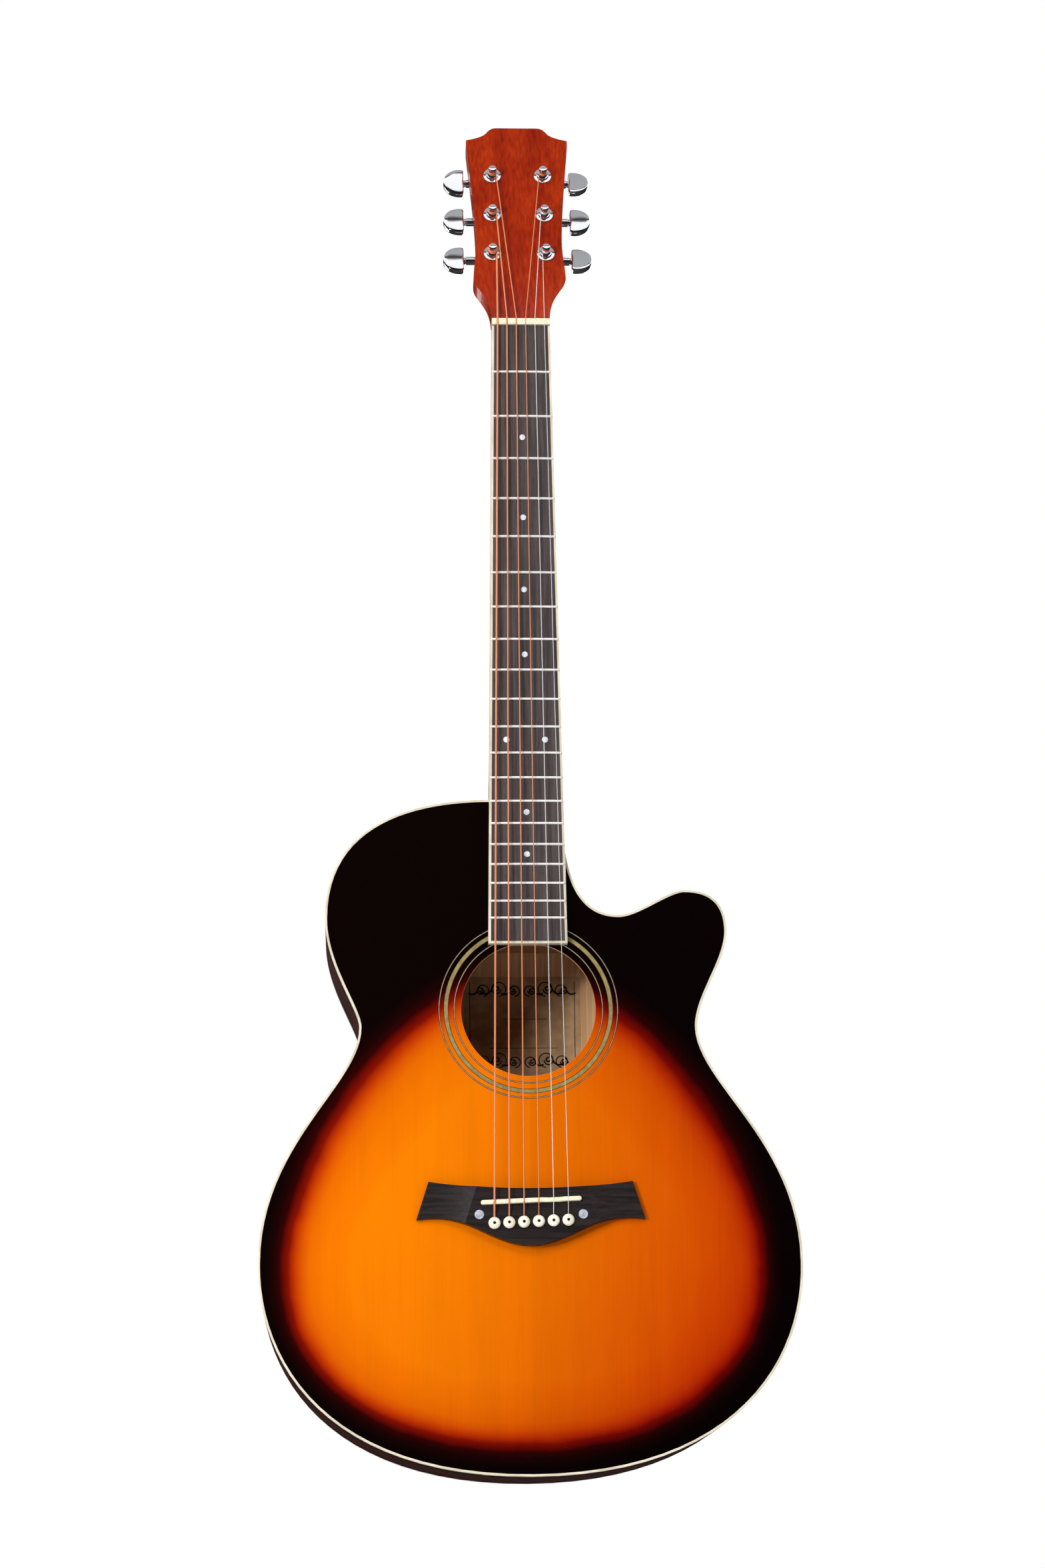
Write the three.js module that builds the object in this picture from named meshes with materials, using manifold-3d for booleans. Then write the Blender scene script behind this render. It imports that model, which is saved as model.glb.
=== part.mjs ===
// A steel-string acoustic guitar with a cutaway, in millimetres, as separate solids.
//
// Shapes are drawn in the instrument's own frame: +X to the treble side, +Y up the neck from the
// saddle line, +Z out of the soundboard, whose face is z = 0. The exported group stands the
// instrument upright, with the soundboard facing -Y and the origin at the hanger rest.

import * as THREE from "three";
import { mergeVertices } from "three/addons/utils/BufferGeometryUtils.js";
import Module from "manifold-3d";

const wasm = await Module();
wasm.setup();

// ---------------------------------------------------------------- driving dimensions

const GAP = 0.3; // room kept at every fitted or cut contact
const SCALE = 650; // nut edge to saddle
const FRETS = 20;

const BODY = {
  tail: -182.9,
  lower: { halfWidth: 188.8, y: -37.4 },
  waist: { halfWidth: 118.8, y: 127.8 },
  upper: { halfWidth: 143.1, y: 205.7 },
  horn: { halfWidth: 141.2, y: 196.5 },
  hornTip: { x: 111.9, y: 226 },
  cutaway: { x: 64.8, y: 208 },
  neckEnd: { halfWidth: 25, y: 292 },
  depth: 96,
};
const TOP = 2.8; // soundboard and back thickness
const SIDE = 2.2;
const BINDING = { width: 2.2, height: 6 };
const LINING = { width: 6, height: 14 };
const OUTLINE_STEP = 20; // longest facet round the body

const SOUNDHOLE = { y: 140.3, radius: 47.3 };
const ROSETTE = { inner: 56.8, outer: 59.3, depth: 1.2 };
const ROUND = 36; // facets round the soundhole

const FRETBOARD = {
  end: 186.3,
  nutHalfWidth: 21.5,
  endHalfWidth: 28,
  thickness: 6.2,
  crown: 0.5, // rise of the middle over the edges
  binding: 1.8,
};
const FRET = { width: 2.2, height: 1.1 };
const NUT = { length: 5, height: 8.6, halfWidth: 21.4, slot: 0.8 };

const NECK = { nutDepth: 14.8, heelShaftDepth: 17.6, heelDepth: 84 };
const TENON = { halfWidth: 9, length: 30, depth: 70 };
const HEAD = { tilt: 13, start: 655, rise: 5.5, thickness: 14.5, length: 174 };
const TRUSS = { radius: 2.6, z: -7, low: 252, high: 640, nutRadius: 3.6, nutLength: 12 };

const BRIDGE = { height: 8.5, wingHeight: 3.6, blockHalf: 39, tipHalf: 79.5 };
const SADDLE = { y: 4.4, length: 70, width: 3.2, bottom: 4.6, top: 12.2, slant: 2.2 };
const PIN = { y: -10.1, radius: 2.4, tipRadius: 2, headRadius: 4.2, headTop: 12, bottom: -12 };

const STRING_RADII = [0.67, 0.53, 0.41, 0.31, 0.21, 0.15]; // bass to treble
const STRING_SPREAD = { nut: 6.88, saddle: 10.24 }; // spacing between neighbours

const TUNER = {
  rows: [58.5, 93.9, 129.4], // posts along the head, from the nut
  columns: [19.8, 19.4, 19.0],
  shaftAhead: 8.3, // the button shaft lies this far up the head from its post
  shaftDepth: -21.2, // and this far behind the head's face
  postRadius: 3,
  postTop: 10,
  wheelRadius: 5.5,
  wormRadius: 2.4,
  buttonStart: 20.6, // from the post, along the shaft
  buttonLength: 15.6,
  buttonHalfWidth: 10.9,
  buttonThickness: 6.6,
};
const HANGER = { y: 668, z: -4 }; // where a hanger's yoke carries the neck, under the head's flare

// ---------------------------------------------------------------- finishes

const FINISH = {
  soundboard: { color: 0xc9700f, roughness: 0.25, metalness: 0 },
  mahogany: { color: 0x5a1e10, roughness: 0.3, metalness: 0 },
  bare_wood: { color: 0xb98a58, roughness: 0.7, metalness: 0 },
  rosewood: { color: 0x2a211e, roughness: 0.55, metalness: 0 },
  cream: { color: 0xe6d9b0, roughness: 0.35, metalness: 0 },
  bone: { color: 0xe9e2cc, roughness: 0.4, metalness: 0 },
  inlay: { color: 0x6d6136, roughness: 0.4, metalness: 0.1 },
  chrome: { color: 0xd4d6da, roughness: 0.15, metalness: 1 },
  steel: { color: 0x8d8f93, roughness: 0.35, metalness: 1 },
  bronze: { color: 0xb0703c, roughness: 0.4, metalness: 1 },
};

const instrument = new THREE.Group();

function add(name, geometry, finish, parent = instrument) {
  const mesh = new THREE.Mesh(geometry, new THREE.MeshStandardMaterial(FINISH[finish]));
  mesh.name = name;
  parent.add(mesh);
  return mesh;
}

// ---------------------------------------------------------------- shape helpers

const point = (x, y) => new THREE.Vector2(x, y);

function toManifold(geometry) {
  const bare = new THREE.BufferGeometry();
  const source = geometry.index ? geometry.toNonIndexed() : geometry;
  bare.setAttribute("position", source.getAttribute("position"));
  const merged = mergeVertices(bare, 1e-4);
  return new wasm.Manifold(
    new wasm.Mesh({
      numProp: 3,
      vertProperties: merged.attributes.position.array,
      triVerts: new Uint32Array(merged.index.array),
    }),
  );
}

function fromManifold(solid) {
  const mesh = solid.getMesh();
  const geometry = new THREE.BufferGeometry();
  geometry.setAttribute("position", new THREE.BufferAttribute(mesh.vertProperties, 3));
  geometry.setIndex(new THREE.BufferAttribute(mesh.triVerts, 1));
  const flat = geometry.toNonIndexed();
  flat.computeVertexNormals();
  return flat;
}

const join = (...pieces) => fromManifold(pieces.map(toManifold).reduce((a, b) => a.add(b)));
const cut = (piece, ...tools) =>
  fromManifold(tools.map(toManifold).reduce((a, b) => a.subtract(b), toManifold(piece)));
const common = (a, b) => fromManifold(toManifold(a).intersect(toManifold(b)));

function block(x0, x1, y0, y1, z0, z1) {
  const geometry = new THREE.BoxGeometry(x1 - x0, y1 - y0, z1 - z0);
  return geometry.translate((x0 + x1) / 2, (y0 + y1) / 2, (z0 + z1) / 2);
}

// A flat plate between two heights; the outline and holes are lists of points.
function plate(outline, z0, z1, holes = []) {
  const shape = new THREE.Shape(outline);
  shape.holes = holes.map((hole) => new THREE.Path(hole));
  const geometry = new THREE.ExtrudeGeometry(shape, { depth: z1 - z0, bevelEnabled: false });
  return geometry.translate(0, 0, z0);
}

function circle(x, y, radius, count) {
  return Array.from({ length: count }, (_, i) => {
    const angle = (2 * Math.PI * i) / count;
    return point(x + radius * Math.cos(angle), y + radius * Math.sin(angle));
  });
}

// A solid of revolution about Z from [radius, height] pairs, listed from the bottom to the top.
function turned(profile, count) {
  const points = profile.map(([radius, height]) => point(radius, height));
  return new THREE.LatheGeometry(points, count).rotateX(Math.PI / 2);
}

// A closed skin over rings of equal length, each a list of 3-D points, with flat ends.
function loft(rings) {
  const count = rings[0].length;
  const position = rings.flat().flatMap((p) => [p.x, p.y, p.z]);
  const index = [];
  for (let r = 0; r + 1 < rings.length; r++) {
    for (let i = 0; i < count; i++) {
      const [a, b] = [r * count + i, r * count + ((i + 1) % count)];
      index.push(a, b, b + count, a, b + count, a + count);
    }
  }
  const last = (rings.length - 1) * count;
  for (let i = 1; i + 1 < count; i++) {
    index.push(0, i + 1, i);
    index.push(last, last + i, last + i + 1);
  }
  const geometry = new THREE.BufferGeometry();
  geometry.setAttribute("position", new THREE.Float32BufferAttribute(position, 3));
  geometry.setIndex(index);
  const flat = geometry.toNonIndexed();
  flat.computeVertexNormals();
  return flat;
}

// A path of straight runs whose knots are hit exactly, with mitred bends.
class Route extends THREE.Curve {
  constructor(knots) {
    super();
    this.knots = knots.map((k) => new THREE.Vector3(...k));
  }
  getUtoTmapping(u) {
    return u;
  }
  getPoint(t) {
    const at = t * (this.knots.length - 1);
    const i = Math.min(Math.floor(at), this.knots.length - 2);
    return this.knots[i].clone().lerp(this.knots[i + 1], at - i);
  }
  getTangent(t) {
    const at = t * (this.knots.length - 1);
    const before = Math.max(0, Math.ceil(at - 1e-6) - 1);
    const after = Math.min(this.knots.length - 2, Math.floor(at + 1e-6));
    const along = (i) => this.knots[i + 1].clone().sub(this.knots[i]).normalize();
    return along(before).add(along(after)).normalize();
  }
}

function wire(knots, radius, sides = 6) {
  const section = new THREE.Shape(circle(0, 0, radius, sides));
  const extrudePath = new Route(knots);
  return new THREE.ExtrudeGeometry(section, { steps: knots.length - 1, extrudePath });
}

// ---------------------------------------------------------------- body outline

function bodyOutline() {
  const { tail, lower, waist, upper, horn, hornTip, cutaway, neckEnd } = BODY;
  const shape = new THREE.Shape();
  const curve = (...numbers) => shape.bezierCurveTo(...numbers);
  const [lw, ly] = [lower.halfWidth, lower.y];
  const [ww, wy] = [waist.halfWidth, waist.y];
  const [uw, uy] = [upper.halfWidth, upper.y];
  const [nw, ny] = [neckEnd.halfWidth, neckEnd.y];
  shape.moveTo(0, tail);
  curve(141, tail, lw, ly - 68, lw, ly);
  curve(lw, ly + 85, ww, wy - 40, ww, wy);
  curve(ww, wy + 21, horn.halfWidth, horn.y - 21, horn.halfWidth, horn.y);
  curve(horn.halfWidth, horn.y + 13, hornTip.x + 25, hornTip.y, hornTip.x, hornTip.y);
  curve(hornTip.x - 11.5, hornTip.y, cutaway.x + 13.5, cutaway.y, cutaway.x, cutaway.y);
  curve(cutaway.x - 26, cutaway.y, nw, ny - 61, nw, ny);
  shape.lineTo(-nw, ny);
  curve(-nw - 53, ny, -uw, uy + 71, -uw, uy);
  curve(-uw, uy - 33, -ww, wy + 13, -ww, wy);
  curve(-ww, wy - 40, -lw, ly + 85, -lw, ly);
  curve(-lw, ly - 68, -141, tail, 0, tail);
  const runs = shape.curves.map((run) => {
    const steps = run.isLineCurve ? 1 : Math.max(5, Math.ceil(run.getLength() / OUTLINE_STEP));
    return run.getSpacedPoints(steps).slice(0, -1);
  });
  return runs.flat();
}

// The same closed outline moved inwards; it runs anticlockwise, so inwards is to its left.
function inset(outline, distance) {
  const count = outline.length;
  const normal = (a, b) => point(a.y - b.y, b.x - a.x).normalize();
  return outline.map((corner, i) => {
    const before = normal(outline[(i + count - 1) % count], corner);
    const after = normal(corner, outline[(i + 1) % count]);
    const reach = distance / (1 + before.dot(after));
    return corner.clone().add(before.add(after).multiplyScalar(reach));
  });
}

const OUTLINE = bodyOutline();
const INSIDE_BINDING = inset(OUTLINE, BINDING.width);
const INSIDE_SIDE = inset(OUTLINE, SIDE);
const INSIDE_LINING = inset(OUTLINE, SIDE + LINING.width);
const BLOCK_FACE = inset(OUTLINE, SIDE + GAP);
const FAR = 400; // larger than any half of the body

const BACK_INNER = -BODY.depth + TOP; // height of the back's inner face
const NECK_BLOCK = { x0: -38, x1: 15, y0: 238, y1: BODY.neckEnd.y };
const TAIL_BLOCK = { halfWidth: 40, y0: BODY.tail, y1: BODY.tail + 20 };

const fretAt = (n) => SCALE * 2 ** (-n / 12);
const boardHalfWidth = (y) =>
  THREE.MathUtils.mapLinear(
    y, FRETBOARD.end, SCALE, FRETBOARD.endHalfWidth, FRETBOARD.nutHalfWidth,
  );
const stringX = (i, spacing) => (i - 2.5) * spacing;
const slant = Math.tan(THREE.MathUtils.degToRad(SADDLE.slant));
const saddleY = (x) => SADDLE.y + x * slant;
const pinY = (x) => PIN.y + x * slant;

// ---------------------------------------------------------------- body shell

function pinHoles() {
  const holeRadius = PIN.radius + 2 * GAP;
  const notch = 1.8; // the hole runs on towards the saddle to let the string past
  return STRING_RADII.map((_, i) => {
    const x = stringX(i, STRING_SPREAD.saddle);
    const round = circle(x, pinY(x), holeRadius, 12);
    const long = round.map((p) => (p.y > pinY(x) + 0.01 ? point(p.x, p.y + notch) : p));
    return long;
  });
}

function body() {
  const { depth } = BODY;
  const hole = circle(0, SOUNDHOLE.y, SOUNDHOLE.radius, ROUND);
  const inner = circle(0, SOUNDHOLE.y, ROSETTE.inner, ROUND);
  const outer = circle(0, SOUNDHOLE.y, ROSETTE.outer, ROUND);
  const board = plate(INSIDE_BINDING, -TOP, 0, [hole, ...pinHoles()]);
  add("top", cut(board, plate(outer, -ROSETTE.depth, 1, [inner])), "soundboard");
  add("rosette", plate(outer, -ROSETTE.depth, 0, [inner]), "inlay");
  add("back", plate(INSIDE_BINDING, -depth, BACK_INNER), "mahogany");

  const slotHalf = TENON.halfWidth + GAP;
  const slot = block(-slotHalf, slotHalf, 280, 300, -TENON.depth - GAP, 1);
  const rim = plate(OUTLINE, -BINDING.height, 0, [INSIDE_BINDING]);
  add("binding_top", cut(rim, slot), "cream");
  const low = [-depth, -depth + BINDING.height];
  add("binding_back", plate(OUTLINE, ...low, [INSIDE_BINDING]), "cream");

  const wall = plate(OUTLINE, low[1], -BINDING.height, [INSIDE_SIDE]);
  const halfSpace = (x0, x1) => block(x0, x1, -FAR, FAR, -FAR, FAR);
  add("side_bass", cut(wall, halfSpace(0, FAR), slot), "mahogany");
  add("side_treble", cut(wall, halfSpace(-FAR, 0), slot), "mahogany");
}

function blocksAndLinings() {
  const { x0, x1, y0, y1 } = NECK_BLOCK;
  const inside = plate(BLOCK_FACE, BACK_INNER, -TOP);
  const slotHalf = TENON.halfWidth + GAP;
  const mortise = block(-slotHalf, slotHalf, y0 - 1, y1 + 1, -TENON.depth - GAP, 1);
  const neckBlock = common(inside, block(x0, x1, y0, y1, -FAR, FAR));
  add("neck_block", cut(neckBlock, mortise), "bare_wood");

  const { halfWidth, y0: tail0, y1: tail1 } = TAIL_BLOCK;
  const between = [BACK_INNER + LINING.height + GAP, -TOP - LINING.height - GAP];
  const tailBlank = block(-halfWidth, halfWidth, tail0, tail1, ...between);
  add("tail_block", common(inside, tailBlank), "bare_wood");

  const room = block(x0 - GAP, x1 + GAP, y0 - GAP, y1 + GAP, -FAR, FAR);
  const ring = (a, b) => cut(plate(INSIDE_SIDE, a, b, [INSIDE_LINING]), room);
  add("lining_top", ring(-TOP - LINING.height, -TOP), "bare_wood");
  add("lining_back", ring(BACK_INNER, BACK_INNER + LINING.height), "bare_wood");
}

// ---------------------------------------------------------------- braces

function bar(length, width, z0, z1, angle, x, y) {
  const piece = block(-length / 2, length / 2, -width / 2, width / 2, z0, z1);
  return piece.rotateZ(THREE.MathUtils.degToRad(angle)).translate(x, y, 0);
}

function braces() {
  const under = [-TOP - 13, -TOP];
  const cross = { y: 65, angle: 41, centre: -12, length: 300, width: 8 };
  const arm = (side) => {
    const angle = side * cross.angle;
    const along = THREE.MathUtils.degToRad(angle);
    const x = side * cross.centre * Math.cos(along);
    const y = cross.y + cross.centre * Math.sin(side * along);
    return bar(cross.length, cross.width, ...under, angle, x, y);
  };
  add("x_brace", join(arm(1), arm(-1)), "bare_wood");

  const access = block(-5, 5, 180, 210, -12, -4.5); // lets a key reach the truss rod nut
  add("transverse_brace", cut(bar(250, 8, -TOP - 16, -TOP, 0, 0, 193.5), access), "bare_wood");

  const platform = [point(-92, -26), point(92, -26), point(50, 12), point(-50, 12)];
  add("bridge_plate", plate(platform, -TOP - 2.5, -TOP, pinHoles()), "bare_wood");

  const over = [BACK_INNER, BACK_INNER + 14];
  add("back_brace_upper", bar(140, 8, ...over, 0, -35, 203), "bare_wood"); // clears the cutaway
  add("back_brace_lower", bar(350, 8, ...over, 0, 0, -40), "bare_wood");
}

// ---------------------------------------------------------------- neck and head

// The neck's section at one station: flat on top, a full D below.
function neckSection(y, halfWidth, top, bottom) {
  const facets = 14;
  return Array.from({ length: facets + 1 }, (_, i) => {
    const angle = (Math.PI * i) / facets;
    const across = Math.sign(Math.cos(angle)) * Math.abs(Math.cos(angle)) ** 0.8;
    return new THREE.Vector3(halfWidth * across, y, top - (top - bottom) * Math.sin(angle) ** 0.85);
  });
}

function neckShaft() {
  const { nutDepth, heelShaftDepth, heelDepth } = NECK;
  const start = BODY.neckEnd.y + GAP;
  const heel = new THREE.CubicBezierCurve(
    point(start + 12, heelDepth), point(start + 16, 42), point(start + 30, 19),
    point(start + 62, heelShaftDepth),
  );
  const rings = [neckSection(start, boardHalfWidth(start), 0, -heelDepth)];
  for (const { x: y, y: depth } of heel.getPoints(8)) {
    rings.push(neckSection(y, boardHalfWidth(y), 0, -depth));
  }
  rings.push(neckSection(SCALE, FRETBOARD.nutHalfWidth, 0, -nutDepth));
  rings.push(neckSection(HEAD.start, FRETBOARD.nutHalfWidth, 0, -nutDepth));
  const scarf = 42; // the D dies into the back of the head over this length
  for (const part of [0.35, 0.7, 1]) {
    const fall = part * scarf * Math.tan(THREE.MathUtils.degToRad(HEAD.tilt));
    const bottom = -nutDepth - 3.6 * part ** 2;
    const top = Math.min(0, HEAD.rise - fall - 3);
    const half = FRETBOARD.nutHalfWidth - 4 * part;
    rings.push(neckSection(HEAD.start + part * scarf, half, top, bottom));
  }
  return loft(rings);
}

function headOutline() {
  const edge = new THREE.Path();
  edge.moveTo(NUT.halfWidth + 0.2, 0);
  edge.bezierCurveTo(21.9, 12, 25.5, 18.5, 29.3, 24.6);
  edge.bezierCurveTo(31.6, 28.3, 34.3, 31.5, 34.2, 37);
  edge.bezierCurveTo(34.1, 46, 32.2, 54, 32.1, 68);
  edge.bezierCurveTo(32.2, 92, 36, 130, 38.2, 157);
  edge.lineTo(38.2, 162.5);
  edge.bezierCurveTo(31, 164, 25.5, 166, 23, 169);
  edge.bezierCurveTo(21, 172, 19, HEAD.length, 15, HEAD.length);
  const right = edge.getPoints(5);
  const left = right.map((p) => point(-p.x, p.y)).reverse();
  return [...right, ...left];
}

// Takes a shape drawn on the head's face (x, up the head, out of the face) to the instrument.
const HEAD_TILT = -THREE.MathUtils.degToRad(HEAD.tilt);
const onHead = (geometry) => geometry.rotateX(HEAD_TILT).translate(0, HEAD.start, HEAD.rise);

function neck() {
  const boreRadius = 5;
  const posts = tunerSeats().map(({ x, y }) => circle(x, y, boreRadius, 12));
  const head = onHead(plate(headOutline(), -HEAD.thickness, 0, posts));
  const { halfWidth, length, depth } = TENON;
  const start = BODY.neckEnd.y + GAP;
  const tenon = block(-halfWidth, halfWidth, start - length, start + 1, -depth, -TOP - GAP);
  const nutSeat = block(-30, 30, SCALE - 8, HEAD.start + GAP, 0, 20);
  const groove = TRUSS.radius + 2 * GAP;
  const channel = block(-groove, groove, start - length - 1, TRUSS.high + GAP, TRUSS.z - groove, 1);
  const whole = join(neckShaft(), tenon, head);
  add("neck", cut(whole, nutSeat, channel), "mahogany");

  const rod = turned([[0, 0], [TRUSS.radius, 0], [TRUSS.radius, TRUSS.high - TRUSS.low],
    [0, TRUSS.high - TRUSS.low]], 8);
  add("truss_rod", rod.rotateX(-Math.PI / 2).translate(0, TRUSS.low, TRUSS.z), "steel");

  // The adjusting nut turns on the rod's end, inside the neck block, reached from the soundhole.
  const { nutRadius, nutLength } = TRUSS;
  const socket = circle(0, 0, 1.8, 6);
  const nutBody = plate(circle(0, 0, nutRadius, 12), 0, nutLength);
  const key = plate(socket, -1, 6);
  const rodNut = cut(nutBody, key).rotateX(-Math.PI / 2);
  add("truss_rod_nut", rodNut.translate(0, TRUSS.low - GAP - nutLength, TRUSS.z), "steel");
}

function fretboard() {
  const { end, thickness, crown, binding } = FRETBOARD;
  const section = (y, trim) => {
    const half = boardHalfWidth(y) - trim;
    const rise = (share) => thickness + crown * (1 - share ** 2);
    const top = [1, 0.6, 0.2, -0.2, -0.6, -1].map(
      (share) => new THREE.Vector3(share * half, y, rise(share)),
    );
    return [new THREE.Vector3(-half, y, 0), new THREE.Vector3(half, y, 0), ...top].reverse();
  };
  const board = loft([section(end + binding, binding), section(SCALE - GAP, binding)]);
  const wires = Array.from({ length: FRETS }, (_, i) => {
    const y = fretAt(i + 1);
    const half = boardHalfWidth(y + FRET.width) - binding;
    const crownTop = thickness + crown + FRET.height;
    const foot = FRET.width / 2;
    const profile = [point(-foot, thickness - 1), point(foot, thickness - 1),
      point(0.5, crownTop), point(-0.5, crownTop)];
    const wirePiece = plate(profile, -half, half).rotateX(Math.PI / 2).rotateZ(Math.PI / 2);
    return wirePiece.translate(0, y, 0);
  });
  add("fretboard", join(board, ...wires), "rosewood");

  const trimY = [end, SCALE - GAP];
  const outer = trimY.map((y) => boardHalfWidth(y));
  const innerHalf = (y) => boardHalfWidth(y) - binding;
  const strip = [point(-outer[1], trimY[1]), point(-outer[0], trimY[0]), point(outer[0], trimY[0]),
    point(outer[1], trimY[1]), point(innerHalf(trimY[1]), trimY[1]),
    point(innerHalf(end + binding), end + binding),
    point(-innerHalf(end + binding), end + binding), point(-innerHalf(trimY[1]), trimY[1])];
  add("fretboard_binding", plate(strip, 0, thickness), "cream");

  const { halfWidth, length, height } = NUT;
  const nutBlank = block(-halfWidth, halfWidth, SCALE, SCALE + length, 0, height);
  const slots = STRING_RADII.map((radius, i) => {
    const x = stringX(i, STRING_SPREAD.nut);
    const half = radius + GAP;
    return block(x - half, x + half, SCALE - 1, SCALE + length + 1, height - NUT.slot, height + 1);
  });
  add("nut", cut(nutBlank, ...slots), "bone");
}

// ---------------------------------------------------------------- bridge, saddle and pins

function bridge() {
  const { height, wingHeight, blockHalf, tipHalf } = BRIDGE;
  const edge = new THREE.Path();
  edge.moveTo(0, -26.3);
  edge.bezierCurveTo(18, -26.3, 32, -16, 46, -11);
  edge.bezierCurveTo(56, -7.6, 66, -6, tipHalf, -8);
  edge.lineTo(71, 18.5);
  edge.bezierCurveTo(55, 15.5, 25, 13.2, 0, 13.2);
  const right = edge.getPoints(5);
  const left = right.slice(1, -1).map((p) => point(-p.x, p.y)).reverse();
  const blank = plate([...right, ...left], 0, height, pinHoles());

  // Each wing falls from the middle block to a thin tip.
  const fall = Math.atan2(height - wingHeight, tipHalf - blockHalf);
  const planer = (side) =>
    block(0, 60, -50, 50, 0, 20).rotateY(fall).translate(blockHalf, 0, height)
      .applyMatrix4(new THREE.Matrix4().makeRotationZ(side > 0 ? 0 : Math.PI));
  const seat = bar(SADDLE.length + 2 * GAP, SADDLE.width + 2 * GAP, SADDLE.bottom - GAP, 20,
    SADDLE.slant, 0, SADDLE.y);
  add("bridge", cut(blank, planer(1), planer(-1), seat), "rosewood");

  const { length, width, bottom, top, slant: turn, y } = SADDLE;
  const half = length / 2;
  const bone = [point(-half, bottom), point(half, bottom), point(half, top - 2.4),
    point(half - 3, top - 0.7), point(0, top), point(3 - half, top - 0.7), point(-half, top - 2.4)];
  const blade = plate(bone, -width / 2, width / 2).rotateX(Math.PI / 2);
  add("saddle", blade.rotateZ(THREE.MathUtils.degToRad(turn)).translate(0, y, 0), "bone");
}

function bridgePins() {
  const { radius, tipRadius, headRadius, headTop, bottom } = PIN;
  const seat = BRIDGE.height + GAP;
  STRING_RADII.forEach((_, i) => {
    const x = stringX(i, STRING_SPREAD.saddle);
    const pin = turned([[0, bottom], [tipRadius, bottom + 1], [radius, seat], [headRadius, seat],
      [headRadius, headTop - 1.6], [headRadius - 1.6, headTop - 0.3], [0, headTop]], 12);
    const groove = block(-1.1, 1.1, radius - 0.9, 8, bottom - 1, headTop + 1);
    const piece = add(`bridge_pin_${i + 1}`, cut(pin, groove), "bone");
    piece.position.set(x, pinY(x), 0);
  });
}

// ---------------------------------------------------------------- tuners

// Where the six posts stand on the head's face, in the order of their strings.
function tunerSeats() {
  const { rows, columns } = TUNER;
  const order = [0, 1, 2, 2, 1, 0];
  return order.map((row, i) => {
    const side = i < 3 ? -1 : 1;
    return { side, x: side * columns[row], y: rows[row] };
  });
}

// Button turn at rest, in degrees about its own shaft.
const BUTTON_TURN = [0, 0, 6, -10, 0, -9];

// Housing shell behind the head, open towards it, with a tube that carries the shaft.
function tunerHousing() {
  const { shaftAhead, shaftDepth } = TUNER;
  const face = -HEAD.thickness - GAP;
  const outer = block(-8.4, 11, -8.4, 13, -28, face);
  const cavity = block(-6.6, 9, -6.6, 11.6, -26.2, face + 1);
  const tube = turned([[0, 0], [3.1, 0], [3.1, 9.2], [0, 9.2]], 12).rotateY(Math.PI / 2);
  const bore = turned([[0, 0], [2.2, 0], [2.2, 14], [0, 14]], 12).rotateY(Math.PI / 2);
  return cut(
    join(outer, tube.translate(10.6, shaftAhead, shaftDepth)),
    cavity,
    bore.translate(8, shaftAhead, shaftDepth),
  );
}

function tunerBushing() {
  return turned([[3.5, -8], [4.6, -8], [4.6, GAP], [6.75, GAP], [6.75, 1.5], [5.4, 2.1],
    [3.5, 2.3], [3.5, -8]], 12);
}

function tunerPost() {
  const { postRadius, postTop, wheelRadius, shaftDepth } = TUNER;
  const [wheelLow, wheelHigh] = [shaftDepth - 2, shaftDepth + 2];
  return turned([[0, -25.9], [2, -25.9], [2, wheelLow], [wheelRadius, wheelLow],
    [wheelRadius, wheelHigh], [postRadius, wheelHigh], [postRadius, 3.4], [2.3, 4.6], [2.3, 6],
    [postRadius, 7.2], [postRadius, postTop - 0.8], [2.2, postTop], [0, postTop]], 10);
}

// Button, shaft and worm in one, along X, with the post at x = 0.
function tunerButton() {
  const { buttonStart, buttonLength, buttonHalfWidth, buttonThickness, wormRadius } = TUNER;
  const shaft = turned([[0, -6], [1.7, -6], [1.7, -4], [wormRadius, -4], [wormRadius, 4],
    [1.7, 4], [1.7, buttonStart + 3], [0, buttonStart + 3]], 10).rotateY(Math.PI / 2);
  const edge = new THREE.Path();
  edge.moveTo(buttonStart, -buttonHalfWidth + 2.4);
  edge.lineTo(buttonStart + 0.9, -buttonHalfWidth + 0.5);
  edge.lineTo(buttonStart + 3, -buttonHalfWidth);
  edge.bezierCurveTo(buttonStart + 11, -buttonHalfWidth, buttonStart + buttonLength, -6.2,
    buttonStart + buttonLength, 0);
  const low = edge.getPoints(5);
  const high = low.slice(0, -1).map((p) => point(p.x, -p.y)).reverse();
  const half = buttonThickness / 2;
  return join(shaft, plate([...low, ...high], -half, half));
}

function tuners() {
  const head = new THREE.Group();
  head.position.set(0, HEAD.start, HEAD.rise);
  head.rotation.x = HEAD_TILT;
  instrument.add(head);
  const housing = tunerHousing();
  const bushing = tunerBushing();
  const post = tunerPost();
  const button = tunerButton();
  tunerSeats().forEach(({ side, x, y }, i) => {
    const number = i + 1;
    const seat = new THREE.Group();
    seat.position.set(x, y, 0);
    seat.scale.x = side; // bass tuners mirror the treble ones
    head.add(seat);
    add(`tuner_housing_${number}`, housing, "chrome", seat);
    add(`tuner_bushing_${number}`, bushing, "chrome", seat);
    add(`tuner_post_${number}`, post, "chrome", seat);
    const knob = add(`tuner_button_${number}`, button, "chrome", seat);
    knob.position.set(0, TUNER.shaftAhead, TUNER.shaftDepth);
    knob.rotation.x = THREE.MathUtils.degToRad(BUTTON_TURN[i]);
  });
}

// ---------------------------------------------------------------- strings

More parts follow.
